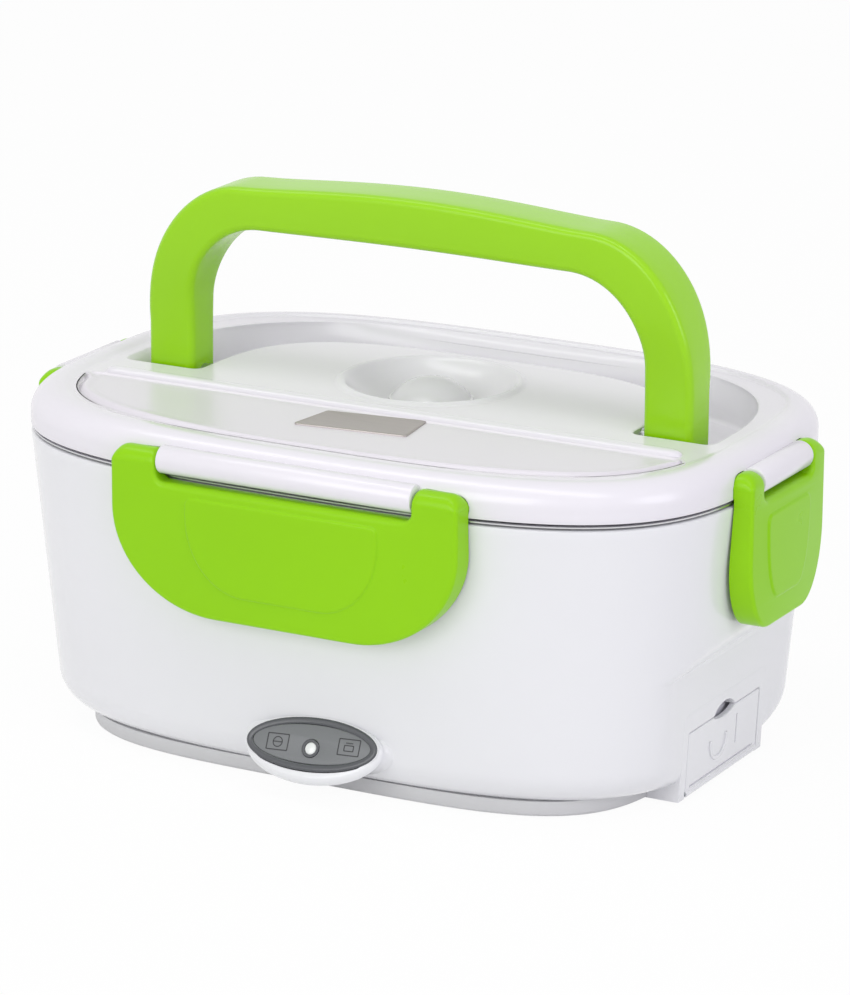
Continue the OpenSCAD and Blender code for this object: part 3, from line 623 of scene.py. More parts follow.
boss = Skin(on_panel)
pad = egg(PANEL_L + 1.0, 8.6, 11.4)
edge, face = boss.wall(pad, [(0, -PAD_ROUND)] + edge_round(PAD_ROUND, PAD_FACE, 8))
recess = boss.ring(ellipse(PANEL_L + 0.3, PANEL_H + 0.3), PAD_FACE)
boss.fill(face, recess)
boss.pit(ellipse(PANEL_L + 0.15, PANEL_H + 0.15), [(0, -0.15), (0, -3.4)], recess)
rings = [edge]
above = [Vector(boss.points[i]) for i in edge]
root = [Vector((x, 0.5 - wall_depth(x, z), z)) for x, z in egg(PANEL_L + 5.0, 9.4, 11.4, (PANEL_AT.x, 16.4))]
for t in quarter(8)[1:]:
    share = Vector((1 - cos(t), sin(t), 1 - cos(t)))
    rings.append(boss.raw([tuple(a + (b - a) * share) for a, b in zip(above, root)]))
boss.close(boss.stack(rings)[1])
boss.piece("lamp_boss", "casing_white", "base", "outer_casing")

# %% [markdown]
# ## The lamp panel
# A dark glossy ring frames a satin grey face with a round milky lamp. The two small square marks
# beside it are plain ones of our own: a ring with a line for the heater, and a small tray.

# %% Bezel, panel and lamp
LAMP_AT, LAMP_R = (0, -1.2), 1.84

bezel = Skin(on_panel)
bezel.slab(ellipse(PANEL_L, PANEL_H), [(0, -1.6), (0, 0.0)] + edge_round(0.7, 0.5, 5) + [
    (0.9, 0.5), (1.5, 0.48), (1.8, 0.4), (2.0, 0.2), (2.05, -0.3), (2.05, -1.3)])
bezel.piece("lamp_ring", "bezel_dark", "base", "lamp_bezel")

panel = Skin(on_panel)
low, top = panel.wall(ellipse(PANEL_L - 2.15, PANEL_H - 2.15), [(0, -1.0), (0, 0.05), (0.12, 0.15), (0.3, 0.2)])
well, floor = panel.turned([(2.95, 0.2), (2.8, 0.15), (2.7, -0.7)], LAMP_AT, 40)
panel.fill(top, well)
panel.close(floor, low)
panel.piece("lamp_face", "panel_grey", "base", "lamp_panel")

collar = Skin(on_panel)
profile = [(2.68, -0.7), (2.66, 0.3), (2.5, 0.4), (1.95, 0.4), (1.85, 0.3), (1.85, -0.7)]
collar.turned(profile + profile[:1], LAMP_AT, 40)
collar.piece("lamp_collar", "bezel_dark", "base")

dome = Skin(on_panel)
profile = [(LAMP_R, -1.0)] + [(max(LAMP_R * cos(t), 0.02), 0.5 * sin(t)) for t in quarter(8)]
dome.close(*dome.turned(profile, LAMP_AT, 32))
dome.piece("lamp_dome", "lens_milky", "base", "lamp_lens")

# %% Plain marks on the panel
HEATER_MARK, TRAY_MARK = (-10.8, -0.3), (12.0, 0.3)
marks = Skin(on_panel)


def mark(outer, inner):
    """A thin raised line between two loops."""
    rings = [marks.ring(loop, h) for loop, h in ((outer, 0.26), (inner, 0.26), (inner, 0.15), (outer, 0.15))]
    marks.stack(rings + rings[:1])


for x, z in (HEATER_MARK, TRAY_MARK):
    mark(rounded_box(x, z, 3.5, 2.5), rounded_box(x, z, 3.2, 2.2))
x, z = HEATER_MARK
mark(circle(1.6, (x, z), 24), circle(1.32, (x, z), 24))
mark(rounded_box(x, z, 1.4, 0.16, 0.05), rounded_box(x, z, 1.2, 0.04, 0.02))
x, z = TRAY_MARK
mark(rounded_box(x, z - 0.3, 1.6, 0.95), rounded_box(x, z - 0.3, 1.32, 0.67, 0.2))
mark(rounded_box(x, z + 1.2, 1.1, 0.16, 0.05), rounded_box(x, z + 1.2, 0.9, 0.04, 0.02))
marks.piece("panel_marks", "panel_grey", "base", finish_name="print_dark")

# %% [markdown]
# ## The grey foot
# The casing stands on a grey cover with rounded sides, set well in from the edge, so the box seems
# to float a little. The screws and rubber feet under it stay as measured solids.

# %% Bottom cover
FOOT_Z = 0.3
foot = Skin()
under, top = foot.wall(rounded_outline(91.3, 67.4, 4), [
    (2.2, FOOT_Z), (1.3, FOOT_Z), (0.8, 0.42), (0.3, 0.8), (0, 1.4), (0, 5.0), (2.2, 5.0), (2.2, 3.0)])
holes = [foot.pit(circle(3.2, (x, y), 24), [(0, 0.5), (0, 2.0)], foot.ring(circle(3.4, (x, y), 24), FOOT_Z))
         for x in (-74, 74) for y in (-50, 50)]
holes += [foot.pit(rounded_box(x, 0, 1.5, 24, 1.4), [(0, FOOT_Z), (0.15, 0.5), (0.15, 2.8)])
          for x in range(-30, 31, 12)]
foot.fill(under, *holes)
foot.close(top)
foot.piece("bottom_foot", "base_grey", "base", "bottom_cover")

# %% [markdown]
# ## The power inlet
# At the right end a square block carries the inlet behind a small flap. The flap has a raised C for
# a fingertip, two grooves and a hinge barrel at its lower edge, and a round notch above it lets a
# nail in. The front of the block is one flat plate with the opening cut in its outline.

# %% Inlet block
DOOR_HALF, DOOR_TOP, GAP = 24.0, 20.3, 0.3
OPEN_HALF, OPEN_TOP, OPEN_R = DOOR_HALF + GAP, DOOR_TOP + GAP, 0.8


def on_end(u, v, height):
    """Outlines drawn on the leaning right end: u is y from the middle of the inlet, v is z."""
    return (height + END_X + END_LEAN * (v - 20), INLET_Y + u, v)


def bow(half, rise, z, way, count=16):
    """A flat arc over a chord of the notch, from right to left: rise is how high its middle stands."""
    turn = [pi * i / count for i in range(count + 1)]
    return [(half * cos(t), z + way * rise * sin(t) ** 1.3) for t in turn]


block_loop = (
    [(OPEN_HALF, 0.6), (28, 0.6)] + arc((26, 24.6), 2, 0, 90, 6) + arc((-26, 24.6), 2, 90, 180, 6)
    + [(-28, 0.6), (-OPEN_HALF, 0.6)] + arc((OPEN_R - OPEN_HALF, OPEN_TOP - OPEN_R), OPEN_R, 180, 90, 5)
    + bow(6.8, 2.9, OPEN_TOP, 1)[::-1] + arc((OPEN_HALF - OPEN_R, OPEN_TOP - OPEN_R), OPEN_R, 90, 0, 5))
block = Skin(on_end)
for end in block.wall(block_loop, [(0, -13.0), (0, -0.3), (0.06, -0.1), (0.2, 0.03), (0.5, 0.05)]):
    block.fill(end)
block.piece("inlet_block", "casing_white", "base", "outer_casing")

# %% Inlet flap
HINGE_X, HINGE_Z, GRIP_AT, CORNER = 100, 2, (-3.6, 12.6), 0.6


def on_hinge(u, v, along):
    """Outlines drawn across the hinge at the flap's lower edge."""
    return (HINGE_X + u, INLET_Y + along, HINGE_Z + v)


flap = Skin(on_end)
side = DOOR_HALF - CORNER
flap_loop = (arc((side, 1.6), CORNER, 270, 360, 5) + arc((side, DOOR_TOP - CORNER), CORNER, 0, 90, 5)
             + bow(7.0, 1.5, DOOR_TOP, -1) + arc((-side, DOOR_TOP - CORNER), CORNER, 90, 180, 5)
             + arc((-side, 1.6), CORNER, 180, 270, 5))
back, front = flap.wall(flap_loop, [(0, -1.8), (0, -0.3), (0.1, -0.12), (0.3, 0.0), (0.6, 0.0)])
grooves = [flap.pit(loop, [(0, 0.0), (0.1, -0.2), (0.16, -0.6)])
           for loop in (rounded_box(9.0, 12.4, 0.45, 4.6, 0.4), rounded_box(0, 3.6, 21.5, 0.35))]
flap.fill(front, *grooves)
flap.close(back)
flap.rod([(-23.9, 0.8), (-23.6, 1.05), (23.6, 1.05), (23.9, 0.8)], lambda along, u, v: on_hinge(u, v, along), 24)
grip = arc(GRIP_AT, 5.9, -190, 10, 28) + arc(GRIP_AT, 4.7, 10, -190, 28)
for end in flap.wall(grip, [(0, -0.2), (0, 0.3), (0.15, 0.48), (0.4, 0.55)]):
    flap.fill(end)
flap.piece("inlet_flap", "casing_white", "inlet_door", "inlet_door")

hinge_pin = Skin(on_hinge)
hinge_pin.slab(circle(0.8, count=20), [(0.1, -24.2), (0, -24.1), (0, 24.1), (0.1, 24.2)])
hinge_pin.piece("hinge_pin", "screw_steel", "base", "door_pin")

# %% [markdown]
# ## The steel container and the side tray
# The container hangs in the casing by a flat steel lip, whose edge shows as a bright line under the
# lid. It is thin sheet, so both of its sides are modelled, with soft bends.


# %% Container and side tray
def vessel(name, body, node, outline, stations):
    """A thin vessel through (height, inset from its lip) stations, outside first and inside back."""
    skin = Skin()
    skin.close(*skin.stack([skin.ring(outline(by), z) for z, by in stations]))
    skin.piece(name, "tray_steel", body, node)


vessel("steel_container", "container", "food_container", lambda by: rounded_outline(112.6 - by, 79.4 - by), [
    (33.0, 26.0), (33.0, 23.0), (33.3, 20.5), (34.2, 18.2), (35.8, 16.4), (38.0, 15.2), (50.0, 13.6),
    (70.0, 10.9), (87.6, 8.6), (88.9, 8.2), (89.45, 7.2), (89.5, 6.0), (89.5, 0.5), (89.65, 0.05),
    (90.05, 0.05), (90.2, 0.5), (90.2, 6.0), (90.1, 8.2), (89.3, 9.0), (87.9, 9.4), (70.0, 11.8),
    (50.0, 14.5), (38.2, 16.1), (36.4, 17.2), (35.0, 18.8), (34.2, 21.0), (33.8, 23.4), (33.8, 26.0)])

TRAY_X = 62.0
vessel("steel_side_tray", "tray", "side_tray",
       lambda by: [(x + TRAY_X, y) for x, y in rounded_outline(28.4 - by, 52.4 - by, 3.4, 160)], [
           (34.1, 9.0), (34.1, 8.0), (34.5, 6.6), (35.4, 5.6), (37.0, 5.2), (60.0, 3.6), (80.0, 2.5),
           (81.1, 2.2), (81.2, 0.4), (81.4, 0.05), (81.8, 0.05), (82.0, 0.4), (82.0, 2.6), (81.4, 3.1),
           (80.4, 3.3), (60.0, 4.4), (37.4, 6.0), (36.0, 6.5), (35.2, 7.3), (34.9, 8.2), (34.9, 9.0)])

# %% [markdown]
# ## The lid
# The lid's rounded border runs all the way round. Behind the middle, a deep U-shaped groove leaves
# room for the folded handle; in front lies a D-shaped place for the spoon compartment's cover.
# So the lid is one flat top with shaped holes in it, each of which has its own walls and floor.

# %% Lid outlines
LID_A, LID_B = 113.0, 79.8
TOP_Z, RIM_Z = 100.9, 101.8
SLOT_Y, SLOT_FLOOR, SLOT_IN, SLOT_R = -8.5, 87.5, 71.7, 3.0
D_Y, D_DEPTH, D_HALF = -26.0, 43.0, 99.0


def lid_outline(by):
    return rounded_outline(LID_A - by, LID_B - by, count=320)


def lid_border(by):
    """The lid's outline set in, but by less at the back, where the groove comes close to the edge."""
    pairs = zip(lid_outline(by), lid_outline(7 + (by - 7) * 0.3))
    return [(x + (u - x) * ease((y - 22) / 26), y + (v - y) * ease((y - 22) / 26)) for (x, y), (u, v) in pairs]


def slot_end(inner, outer):
    """The front end of one arm of the groove, between two x."""
    y = SLOT_Y + SLOT_R
    return arc((inner + SLOT_R, y), SLOT_R, 180, 270)[1:] + arc((outer - SLOT_R, y), SLOT_R, 270, 360)[:-1]


def slot_outline(toward_floor):
    """The U-shaped groove: its outer side leans in from the step (0) to the floor (1)."""
    half, depth, square = (a + (b - a) * toward_floor for a, b in ((97.8, 94.0), (78.0, 73.0), (3.1, 4.0)))
    outer = half_round(half, depth, square, SLOT_Y, 1, low=SLOT_R, count=150)
    inner = half_round(SLOT_IN, 55.0, 3.4, SLOT_Y, 1, low=SLOT_R)
    return slot_end(SLOT_IN, half) + outer + slot_end(-half, -SLOT_IN) + inner[::-1]


def d_outline(by=0.0, back=0.0, corner=6.0):
    """The D of the spoon compartment, anticlockwise: set in all round, and by another distance at its back."""
    half, y = D_HALF - by, D_Y - back
    curve = half_round(half, D_DEPTH - by - back, 2.5, y, -1, low=corner, count=170)[::-1]
    return (curve + arc((half - corner, y - corner), corner, 0, 90)[1:]
            + even([(half - corner, y), (-half + corner, y)], 40, closed=False)[1:-1]
            + arc((-half + corner, y - corner), corner, 90, 180)[:-1])


print("slot points", len(slot_outline(0)), "D points", len(d_outline()))

# %% Lid border and top
SKIRT = [(2.6, 93.6), (2.6, 91.1), (2.3, 90.75), (0.5, 90.75), (0.12, 90.9), (0, 91.25), (0, 93.0)]
BORDER = [(8.4, 101.79), (9.4, 101.6), (10.4, 101.2), (11.3, 100.96), (12.0, TOP_Z), (12.3, TOP_Z)]

lid = Skin()
skirt_inside, top_edge = lid.stack(
    [lid.ring(lid_outline(by), z) for by, z in SKIRT + edge_round(7, RIM_Z, 12)]
    + [lid.ring(lid_border(by), z) for by, z in BORDER])
print("lid border:", len(lid.points), "points")

# %% The groove for the handle
slot_edge, lip = lid.wall(slot_outline(0), [(-0.7, TOP_Z), (-0.5, TOP_Z), (-0.2, TOP_Z - 0.08), (0, TOP_Z - 0.25)])
_, deep = lid.stack([lip] + [lid.ring(slot_outline(k), z) for k, z in (
    (0.2, 100.1), (0.4, 99.2), (0.6, 97.8), (0.8, 95.4), (1.0, 91.0))])
_, slot_floor = lid.wall(slot_outline(1), [(0, 88.9), (0.4, 88.1), (1.0, 87.6), (1.5, SLOT_FLOOR)], deep)
lid.fill(slot_floor)
print("with the groove:", len(lid.points), "points")

# %% The place for the cover, with its pocket
SEAT_Z = 98.8
d_edge, d_seat = lid.wall(d_outline(-0.1, -0.1), [
    (-0.5, TOP_Z), (-0.3, TOP_Z - 0.02), (-0.1, TOP_Z - 0.1), (0, TOP_Z - 0.3), (0, 98.9), (0.3, SEAT_Z)])
pocket, pocket_floor = lid.wall(d_outline(6, 1.5), [(0, SEAT_Z), (0.2, 98.3), (0.4, 91.5), (0.8, 90.6), (1.6, 90.2)])
lid.fill(d_seat, pocket)
lid.fill(pocket_floor)
print("with the cover's place:", len(lid.points), "points")

# %% The steam vent's bowl
VENT_AT = (-4.5, 13.5)
RAISED_EDGE = [(29.2, 0), (28.7, 0.05), (28.2, 0.35), (27.6, 0.8), (26.9, 1.0), (26.2, 0.85), (25.6, 0.4), (25.0, -0.4)]
BOWL = [(23.4, 98.7), (21.3, 97.0), (18.8, 95.6), (16.0, 94.5), (13.0, 94.0), (4.5, 94.0), (4.1, 93.6), (4.1, 91.8)]
vent_edge, _ = lid.turned([(r, TOP_Z + h) for r, h in RAISED_EDGE] + BOWL, VENT_AT, 72)
lid.fill(top_edge, slot_edge, d_edge, vent_edge)
print("with the vent's bowl:", len(lid.points), "points")

# %% The underside of the lid
CEILING_Z = 98.2
band, ceiling = lid.wall(lid_outline(12), [(0, 93.6), (0, CEILING_Z)])
lid.fill(skirt_inside, band)


def hanging(loop, low):
    """A closed box hanging under the ceiling, such as the back of the groove."""
    high, bottom = lid.wall(loop, [(0, CEILING_Z), (0, low + 0.8), (0.3, low + 0.2), (0.8, low)])
    lid.fill(bottom)
    return high


vent_back, _ = lid.turned(
    [(26.2, CEILING_Z), (25.6, 97.4), (19.8, 93.6), (13.4, 91.9), (12.6, 91.8), (4.1, 91.8)], VENT_AT, 72)
lid.fill(ceiling, hanging(inset(slot_outline(1), -2.0), SLOT_FLOOR - 2), hanging(d_outline(4, -0.5), 88.2), vent_back)
lid_piece = lid.piece("lid_shell_smooth", "lid_white", "lid", "lid_shell")

# %% [markdown]
# The ridge is a smooth bar that crosses the lid. It is lofted along its length from one rounded
# cross section, which shrinks at both ends.

# %% The ridge
RIDGE_Y, RIDGE_HALF, RIDGE_Z, RIDGE_RISE = -22.8, 2.8, 100.5, 2.1
RIDGE_END = [(95, 0.15), (94.6, 0.5), (93.6, 0.8), (92, 0.96), (90, 1.0)]


def ridge_section(x, size):
    return [(x, RIDGE_Y + RIDGE_HALF * size * cos(t), RIDGE_Z + RIDGE_RISE * size * sin(t) ** 0.9)
            for t in (pi * k / 12 for k in range(13))]


ridge = Skin()
stations = [(-x, size) for x, size in RIDGE_END] + [(x, 1.0) for x in range(-80, 90, 10)] + RIDGE_END[::-1]
ridge.loft([ridge_section(x, size) for x, size in stations])
ridge.piece("lid_ridge", "lid_white", "lid", "lid_shell")

# %% [markdown]
# ## The bars that the latches hang on
# Between the two ears of each latch the lid carries a round bar that the latch's pin runs through.
# The ears need room in the lid's wall, so pockets of their shape, a little larger, are cut there.
# The bars are turned pieces with slightly rounded ends, laid on their side.

# %% Latch places and the shape of an ear
PLATE_BACK, EAR_R, EAR_Z, EAR_TOP, BAR_R = 0.55, 4.2, 94.1, 98.3, 4.1
# For each side: how far out its face lies, its turn, half its width, its ears' width and its bar's height.
SIDES = {"front": (85.0, 0, 56.0, 14.7, 95.2), "back": (85.0, 180, 56.0, 14.7, 95.2),
         "left": (119.0, -90, 24.9, 8.2, 94.6), "right": (119.0, 90, 24.9, 8.2, 94.6)}


def ear_sections(face, half, ear, end, grow=0.0):
    """An ear as sections along x: its outer top corner is rounder than the inner one."""
    inside, half = half - ear + 0.06, half - 0.06
    sections = []
    for x in sorted({inside + d for d in (0, 0.08, 0.3, 0.6, 1.0, 1.5, 2.1)}
                    | {half - d for d in (0, 0.08, 0.25, 0.5, 0.9, 1.4, 2.0, 2.8, 3.8, 4.4)}):
        from_inside, from_outside = x - inside, half - x
        depth = EAR_R - corner_loss(1.2, min(from_inside, from_outside)) + grow
        top = EAR_TOP - EAR_Z - max(corner_loss(4.2, from_outside), corner_loss(2.1, from_inside)) + grow
        wide = x + grow * (-0.6 if from_inside < 0.01 else 0.6 if from_outside < 0.01 else 0)
        oval = egg(depth, top, depth, (PLATE_BACK + EAR_R - face, EAR_Z), 48)
        sections.append([(end * wide, y, z) for y, z in oval])
    return sections


print("latch places:", list(SIDES))

# %% Cut the ear pockets and lay the bars
pockets, bars = [], Skin()
for face, angle, half, ear, bar_z in SIDES.values():
    for end in (-1, 1):
        pocket = Skin()
        pocket.loft(ear_sections(face, half, ear, end, 0.25))
        pockets.append(pocket.spin(angle))
    bar, length = Skin(), half - ear - 0.2
    profile = [(length, 3.6), (length - 0.15, 3.95), (length - 0.5, BAR_R)]
    bar.rod([(-x, r) for x, r in profile] + profile[::-1], lambda x, u, v: (x, BAR_R + 0.5 - face + u, bar_z + v))
    bars.add(bar.spin(angle))
carve(lid_piece, *pockets)
bars.piece("latch_bars", "lid_white", "lid", "lid_shell")

# %% [markdown]
# ## The steam vent's plug
# A soft white dome sits in the bowl and closes the steam hole. Like most plugs it is round, so its
# half profile is turned round its own axis.

# %% Vent plug
plug = Skin()
profile = [(0.02, 88.5), (3.4, 88.5), (3.95, 88.8), (3.95, 89.4), (3.8, 89.6), (3.8, 95.4), (11.2, 95.4),
           (12.1, 95.5), (12.6, 95.9), (12.7, 96.4)]
turn = [radians(90 - 58 * (1 - k / 12)) for k in range(1, 13)]
profile += [(max(15 * cos(t), 0.02), 87.4 + 15 * sin(t)) for t in turn]
plug.close(*plug.turned(profile, VENT_AT, 56))
plug.piece("vent_dome", "vent_white", "vent", "vent_plug")

# %% [markdown]
# ## The spoon compartment's cover
# The cover is a milky plate with a soft groove and a rounded bead near its edge, which keep it
# stiff. Its rim laps the lid by about half a millimetre. Along its straight back edge the bead is
# narrower, so the same insets are used all round, but they shrink towards the back edge.


# %% Cover
def d_steps(loop, by):
    """One inset for each point, smaller along the straight back edge."""
    return [by * (1 - 0.7 * ease((y - (D_Y - 9)) / 8)) for _, y in loop]


cover = Skin()
edge = d_outline(-0.65, -0.65)
for end in cover.wall(edge, [(d_steps(edge, by), z) for by, z in (
        (6.0, 98.9), (0.9, 98.9), (0.7, 99.1), (0.6, 100.5), (0.0, 100.88), (0.12, 101.0), (0.5, 101.05), (1.2, 100.8),
        (1.9, 100.25), (2.7, 99.9), (3.3, 100.1), (3.9, 100.7), (4.5, 101.2), (5.2, 101.35), (5.9, 101.2), (6.8, 100.9),
        (8.0, 100.75), (9.5, 100.75))]):
    cover.fill(end)
cover.piece("compartment_cover", "cover_clear", "spoon_cover", "spoon_cover")

# %% Name plate, kept bare
plate = Skin()
plate.slab(round_corners([(-17, -47.6, 1.2), (18, -43.8, 1.2), (15.6, -26.4, 1.2), (-15, -30.6, 1.2)]), [
    (0, 100.6), (0, 101.05), (0.08, 101.2), (0.3, 101.26), (0.6, 101.26), (0.9, 101.2)])
plate.piece("bare_plate", "plate_satin", "spoon_cover", "name_plate")

# %% [markdown]
# ## The spoon
# A small plastic spoon lies under the cover: a shallow oval bowl with an even thickness, and a slim
# handle.

# %% Spoon
SPOON_X, SPOON_Y = -48.0, -44.0
spoon = Skin()
under = [0.06, 0.2, 0.4, 0.6, 0.75, 0.88, 0.96]
stations = [(r, 0) for r in under] + [(1.0, 0.3), (0.97, 0.9)] + [(r, 1.0) for r in under[-2::-1]]
spoon.close(*spoon.stack([
    spoon.ring(ellipse(26 * r, 14 * r, (SPOON_X, SPOON_Y), 72), 91.2 + 6.0 * r ** 2.2 + lift) for r, lift in stations]))
spoon.slab(round_corners([(-26, SPOON_Y - 2.6, 1), (66, SPOON_Y - 3.2, 3), (66, SPOON_Y + 3.2, 3),
                          (-26, SPOON_Y + 2.6, 1)], 8),
           [(0.5, 95.8), (0.1, 95.95), (0, 96.3), (0.1, 96.9), (0.5, 97.2)])
spoon.piece("white_spoon", "spoon_white", "spoon", "spoon")

# %% [markdown]
# ## The lugs that the latches catch
# Under each latch a small bar stands out of the casing's wall. The latch's hook snaps under it.

# %% Casing lugs
LUG_DEPTH = 4.4
lugs = Skin()
for half, out, angle in ((30, 80.1, 0), (30, 80.1, 180), (12, 113.6, -90), (12, 113.6, 90)):
    lug, back = Skin(), LUG_DEPTH - out
    lug.slab(round_corners([(-half, -out, 1.2), (half, -out, 1.2), (half, back, 0.2), (-half, back, 0.2)]),
             [(0.4, 80.0), (0.1, 80.1), (0, 80.4), (0, 82.6), (0.3, 83.2), (0.9, 83.4)])
    lugs.add(lug.spin(angle))
lugs.piece("latch_lugs", "casing_white", "base", "outer_casing")

# %% [markdown]
# ## The latches
# All four latches share one shape: a shield with two ears, a notch between them and a raised pad.
# The front edge is rounded over, the back is hollow, and the ears wrap round the pin. They differ
# only in size, so one function builds them all, and each is turned to its side.

# %% Latch outline
SHIELD_LOW, NOTCH_Z, NOTCH_R, PAD_R = 50.8, 89.4, 2.4, 2.5
LONG = {"corners": (34, 30), "pad": (31.2, 19, 86.2), "wall": (LID_A, LID_B), "hook_in": LID_B - 0.4}
SHORT = {"corners": (14, 23), "pad": (14.4, 8, 84.6), "wall": (LID_B, LID_A), "hook_in": LID_A - 0.3}


def shield(half, low, corner_w, corner_h):
    """The lower part of a latch or of its pad: a flat lower edge between two long round corners."""
    turn = quarter(24)
    return ([(-half + corner_w * (1 - cos(t)), low + corner_h * (1 - sin(t))) for t in turn]
            + [(half - corner_w * (1 - sin(t)), low + corner_h * (1 - cos(t))) for t in turn])


def latch_loop(half, inside, corner_w, corner_h):
    """The front view: a rounded shield, up to the middle of the ears, with the notch."""
    sides = (82, 84, 86, 88, 90, 91.5, 92.8, EAR_Z)
    return (shield(half, SHIELD_LOW, corner_w, corner_h) + [(half, z) for z in sides]
            + [(inside, z) for z in (EAR_Z, 92.8)] + arc((inside - NOTCH_R, NOTCH_Z + NOTCH_R), NOTCH_R, 0, -90)
            + [(inside * k / 6, NOTCH_Z) for k in (5, 4, 2, 0, -2, -4, -5)]
            + arc((NOTCH_R - inside, NOTCH_Z + NOTCH_R), NOTCH_R, -90, -180)
            + [(-inside, z) for z in (92.8, EAR_Z)] + [(-half, z) for z in sides[::-1]])


def pad_loop(half, corner_w, top):
    return (shield(half, 58.7, corner_w, 22) + arc((half - PAD_R, top - PAD_R), PAD_R, 0, 90, 6)
            + arc((PAD_R - half, top - PAD_R), PAD_R, 90, 180, 6))


print("points round a long latch's pad:", len(pad_loop(*LONG["pad"])))

# %% Latch builder
PLAY, BACK_LEAN = 0.3, 0.06


def latch(node, face, angle, half, ear, sizes):
    inside, front = half - ear, face - PLATE_BACK
    loop = latch_loop(half, inside, *sizes["corners"])
    skin = Skin(on_front)

    def edge_radius(u, v):
        """Rounding of the front edge: more along the bottom of the notch."""
        if abs(u) < inside + 0.01 and v > 87:
            return 1.2 + 0.9 * min(1.0, max(0.0, (inside - abs(u)) / 4))
        return 1.2

    def behind(u, v):
        """Where a latch ends at its back: close to the lid's wall, and leaning in below it."""
        along, out = sizes["wall"]
        return outline_at(u, along + PLAY, out + PLAY) - BACK_LEAN * max(0.0, 88 - v)

    radii = [edge_radius(u, v) for u, v in loop]
    rings = [skin.ring(loop, [behind(u, v) for u, v in loop])]
    for t in quarter(6):
        moved = inset(loop, [r * (1 - cos(t)) for r in radii])
        moved = [(u, EAR_Z if at_top > EAR_Z - 0.01 else v) for (u, v), (_, at_top) in zip(moved, loop)]
        rings.append(skin.ring(moved, [front - r * (1 - sin(t)) for r in radii]))
    back, edge = skin.stack(rings)
    pad_edge, pad_top = skin.wall(pad_loop(*sizes["pad"]), [(by, front + h) for by, h in (
        (-0.5, 0), (-0.2, 0.04), (0, 0.16), (0.15, 0.36), (0.4, 0.5), (0.8, 0.54), (1.2, 0.55))])
    skin.fill(edge, pad_edge)
    skin.fill(pad_top)
    hollow = inset(loop, 2.2)
    _, hollow_floor = skin.stack([back, skin.ring(hollow, [behind(u, v) for u, v in hollow]),
                                  skin.ring(hollow, front - 2.0)])
    skin.fill(hollow_floor)
    for end in (-1, 1):
        skin.loft(ear_sections(face, half, ear, end))
    skin.place = on_top
    wide, near, far = half * 0.5, 1.0 - front, -sizes["hook_in"]
    skin.slab(round_corners([(-wide, near, 0.2), (wide, near, 0.2), (wide, far, 1.0), (-wide, far, 1.0)]),
              [(0.6, 77.2), (0, 78.0), (0, 79.5), (0.2, 79.7)])
    skin.spin(angle).piece(node + "_shield", "latch_green", node, node)


for side, (face, angle, half, ear, _) in SIDES.items():
    latch("latch_" + side, face, angle, half, ear, LONG if side in ("front", "back") else SHORT)

# %% [markdown]
# ## The handle
# The handle is one wide green arch. Its section, a rounded rectangle that grows deeper towards the
# top, is lofted between an outer and an inner arch, and each foot is half round about the pivot.

# %% Handle arches
PIVOT_Z, FOOT_R, HANDLE_TOP = 98.0, 7.0, 158.3
LEG_OUT, LEG_IN = 90.25, 74.75
BEND_OUT, BEND_IN, INNER_TOP = 57, 50.75, 145.7


def handle_half_depth(z):
    if z < PIVOT_Z:
        return sqrt(max(FOOT_R ** 2 - (PIVOT_Z - z) ** 2, 0.04))
    return FOOT_R + 2.5 * ease((z - 112) / 30)


def handle_stations():
    """Pairs of outer and inner points, from the left foot to the right one."""
    heights = [PIVOT_Z - FOOT_R * cos(t) * 0.999 for t in quarter(8)] + [101, 104, 107, 110, 113]
    pairs = [((LEG_OUT, z), (LEG_IN, z)) for z in heights]
    for t in quarter(24):
        across, down = cos(t), 1 - sin(t)
        pairs.append(((BEND_OUT + (LEG_OUT - BEND_OUT) * across, HANDLE_TOP - 42 * down),
                      (BEND_IN + (LEG_IN - BEND_IN) * across, INNER_TOP - 25 * down)))
    for k in range(1, 13):
        share = 1 - k / 12
        crown = (1 - share * share) ** 1.5
        pairs.append(((BEND_OUT * share, HANDLE_TOP + 2.8 * crown), (BEND_IN * share, INNER_TOP + 0.6 * crown)))
    return pairs + [((-a[0], a[1]), (-b[0], b[1])) for a, b in reversed(pairs[:-1])]


print("handle stations:", len(handle_stations()))


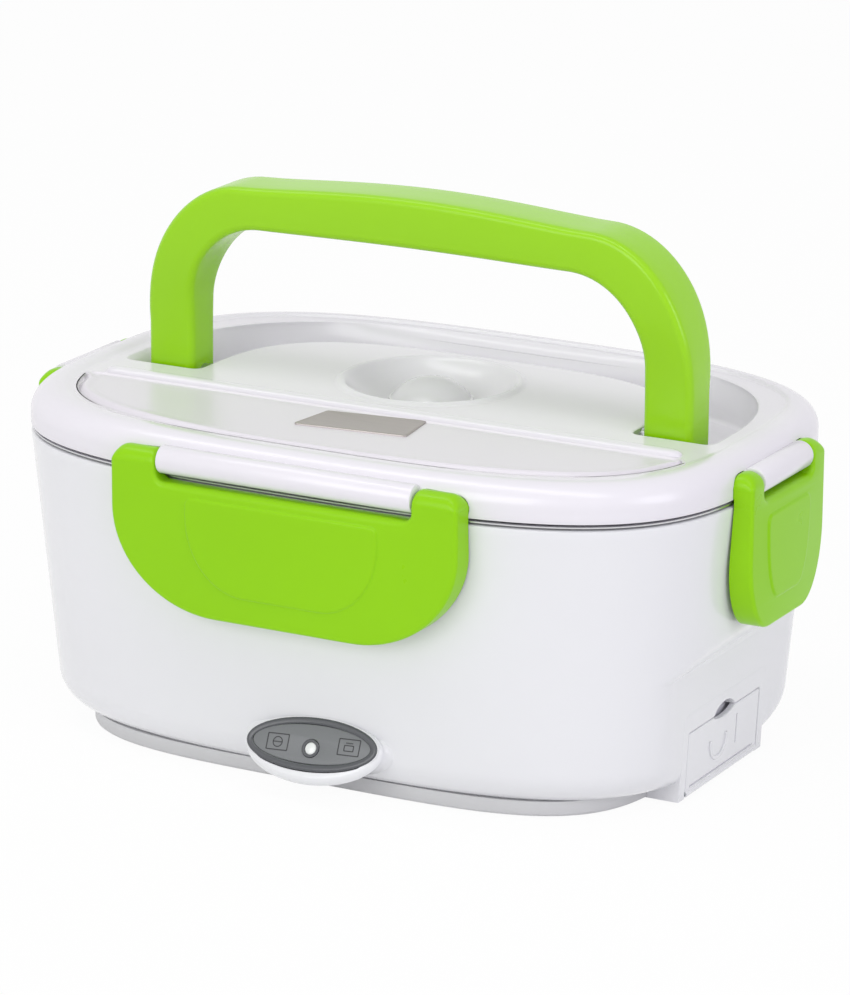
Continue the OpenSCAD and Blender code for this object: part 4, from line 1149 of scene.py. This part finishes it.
# %% Handle
def handle_section(outer, inner):
    """A rounded rectangle between the two arches."""
    width = dist(outer, inner)
    depth = (handle_half_depth(outer[1]) + handle_half_depth(inner[1])) / 2
    fillet = min(2.3, depth * 0.95, width / 2)
    loop = []
    for cx, cy, start in ((width - fillet, -depth + fillet, -90), (width - fillet, depth - fillet, 0),
                          (fillet, depth - fillet, 90), (fillet, -depth + fillet, 180)):
        loop += arc((cx, cy), fillet, start, start + 90, 6)
        if start in (-90, 90):
            loop += [(cx + fillet * (1 if start < 0 else -1), cy * k / 3) for k in (1, -1)]
    return [(outer[0] + (inner[0] - outer[0]) * w / width, y, outer[1] + (inner[1] - outer[1]) * w / width)
            for w, y in loop]


handle = Skin()
handle.loft([handle_section(outer, inner) for outer, inner in handle_stations()])
handle.piece("carry_handle", "handle_green", "handle", "handle", smooth=50)

# %% Pivot pins, hidden in the handle's feet
pins = Skin()
for end in (-1, 1):
    pins.rod([(end * x, r) for x, r in ((70.2, 2.2), (70.5, 2.45), (88.2, 2.45), (88.5, 2.2))],
             lambda x, u, v: (x, u, PIVOT_Z + v), 24)
pins.piece("pivot_pins", "screw_steel", "lid", "handle_pins")

# %% [markdown]
# ## The floor
# The floor is white to the camera and to reflections, and pale to all other light. A little of the
# pale floor is mixed in, so the soft shadow under the box stays.

# %% Floor
FLOOR_SHOW, FLOOR_HALF = 0.05, 6
floor_mesh = bpy.data.meshes.new("floor")
corners = [(x * FLOOR_HALF, y * FLOOR_HALF, 0) for x, y in ((-1, -1), (1, -1), (1, 1), (-1, 1))]
floor_mesh.from_pydata(corners, [], [(0, 1, 2, 3)])
floor_piece = new_object("floor", floor_mesh)

pale = bpy.data.materials.new("pale_floor")
pale.use_nodes = True
tree = pale.node_tree
tree.nodes.clear()
diffuse = add_node(tree, "BsdfDiffuse", {"Color": (0.9, 0.9, 0.9, 1)}).outputs[0]
glow = add_node(tree, "Emission", {"Strength": 1.0}).outputs[0]
share = add_node(tree, "Math", {0: seen_by(tree, "Camera", "Glossy"), 1: 1 - FLOOR_SHOW}, operation="MULTIPLY")
surface = add_node(tree, "MixShader", {0: share.outputs[0], 1: diffuse, 2: glow})
add_node(tree, "OutputMaterial", {"Surface": surface.outputs[0]})
floor_mesh.materials.append(pale)
print("floor placed")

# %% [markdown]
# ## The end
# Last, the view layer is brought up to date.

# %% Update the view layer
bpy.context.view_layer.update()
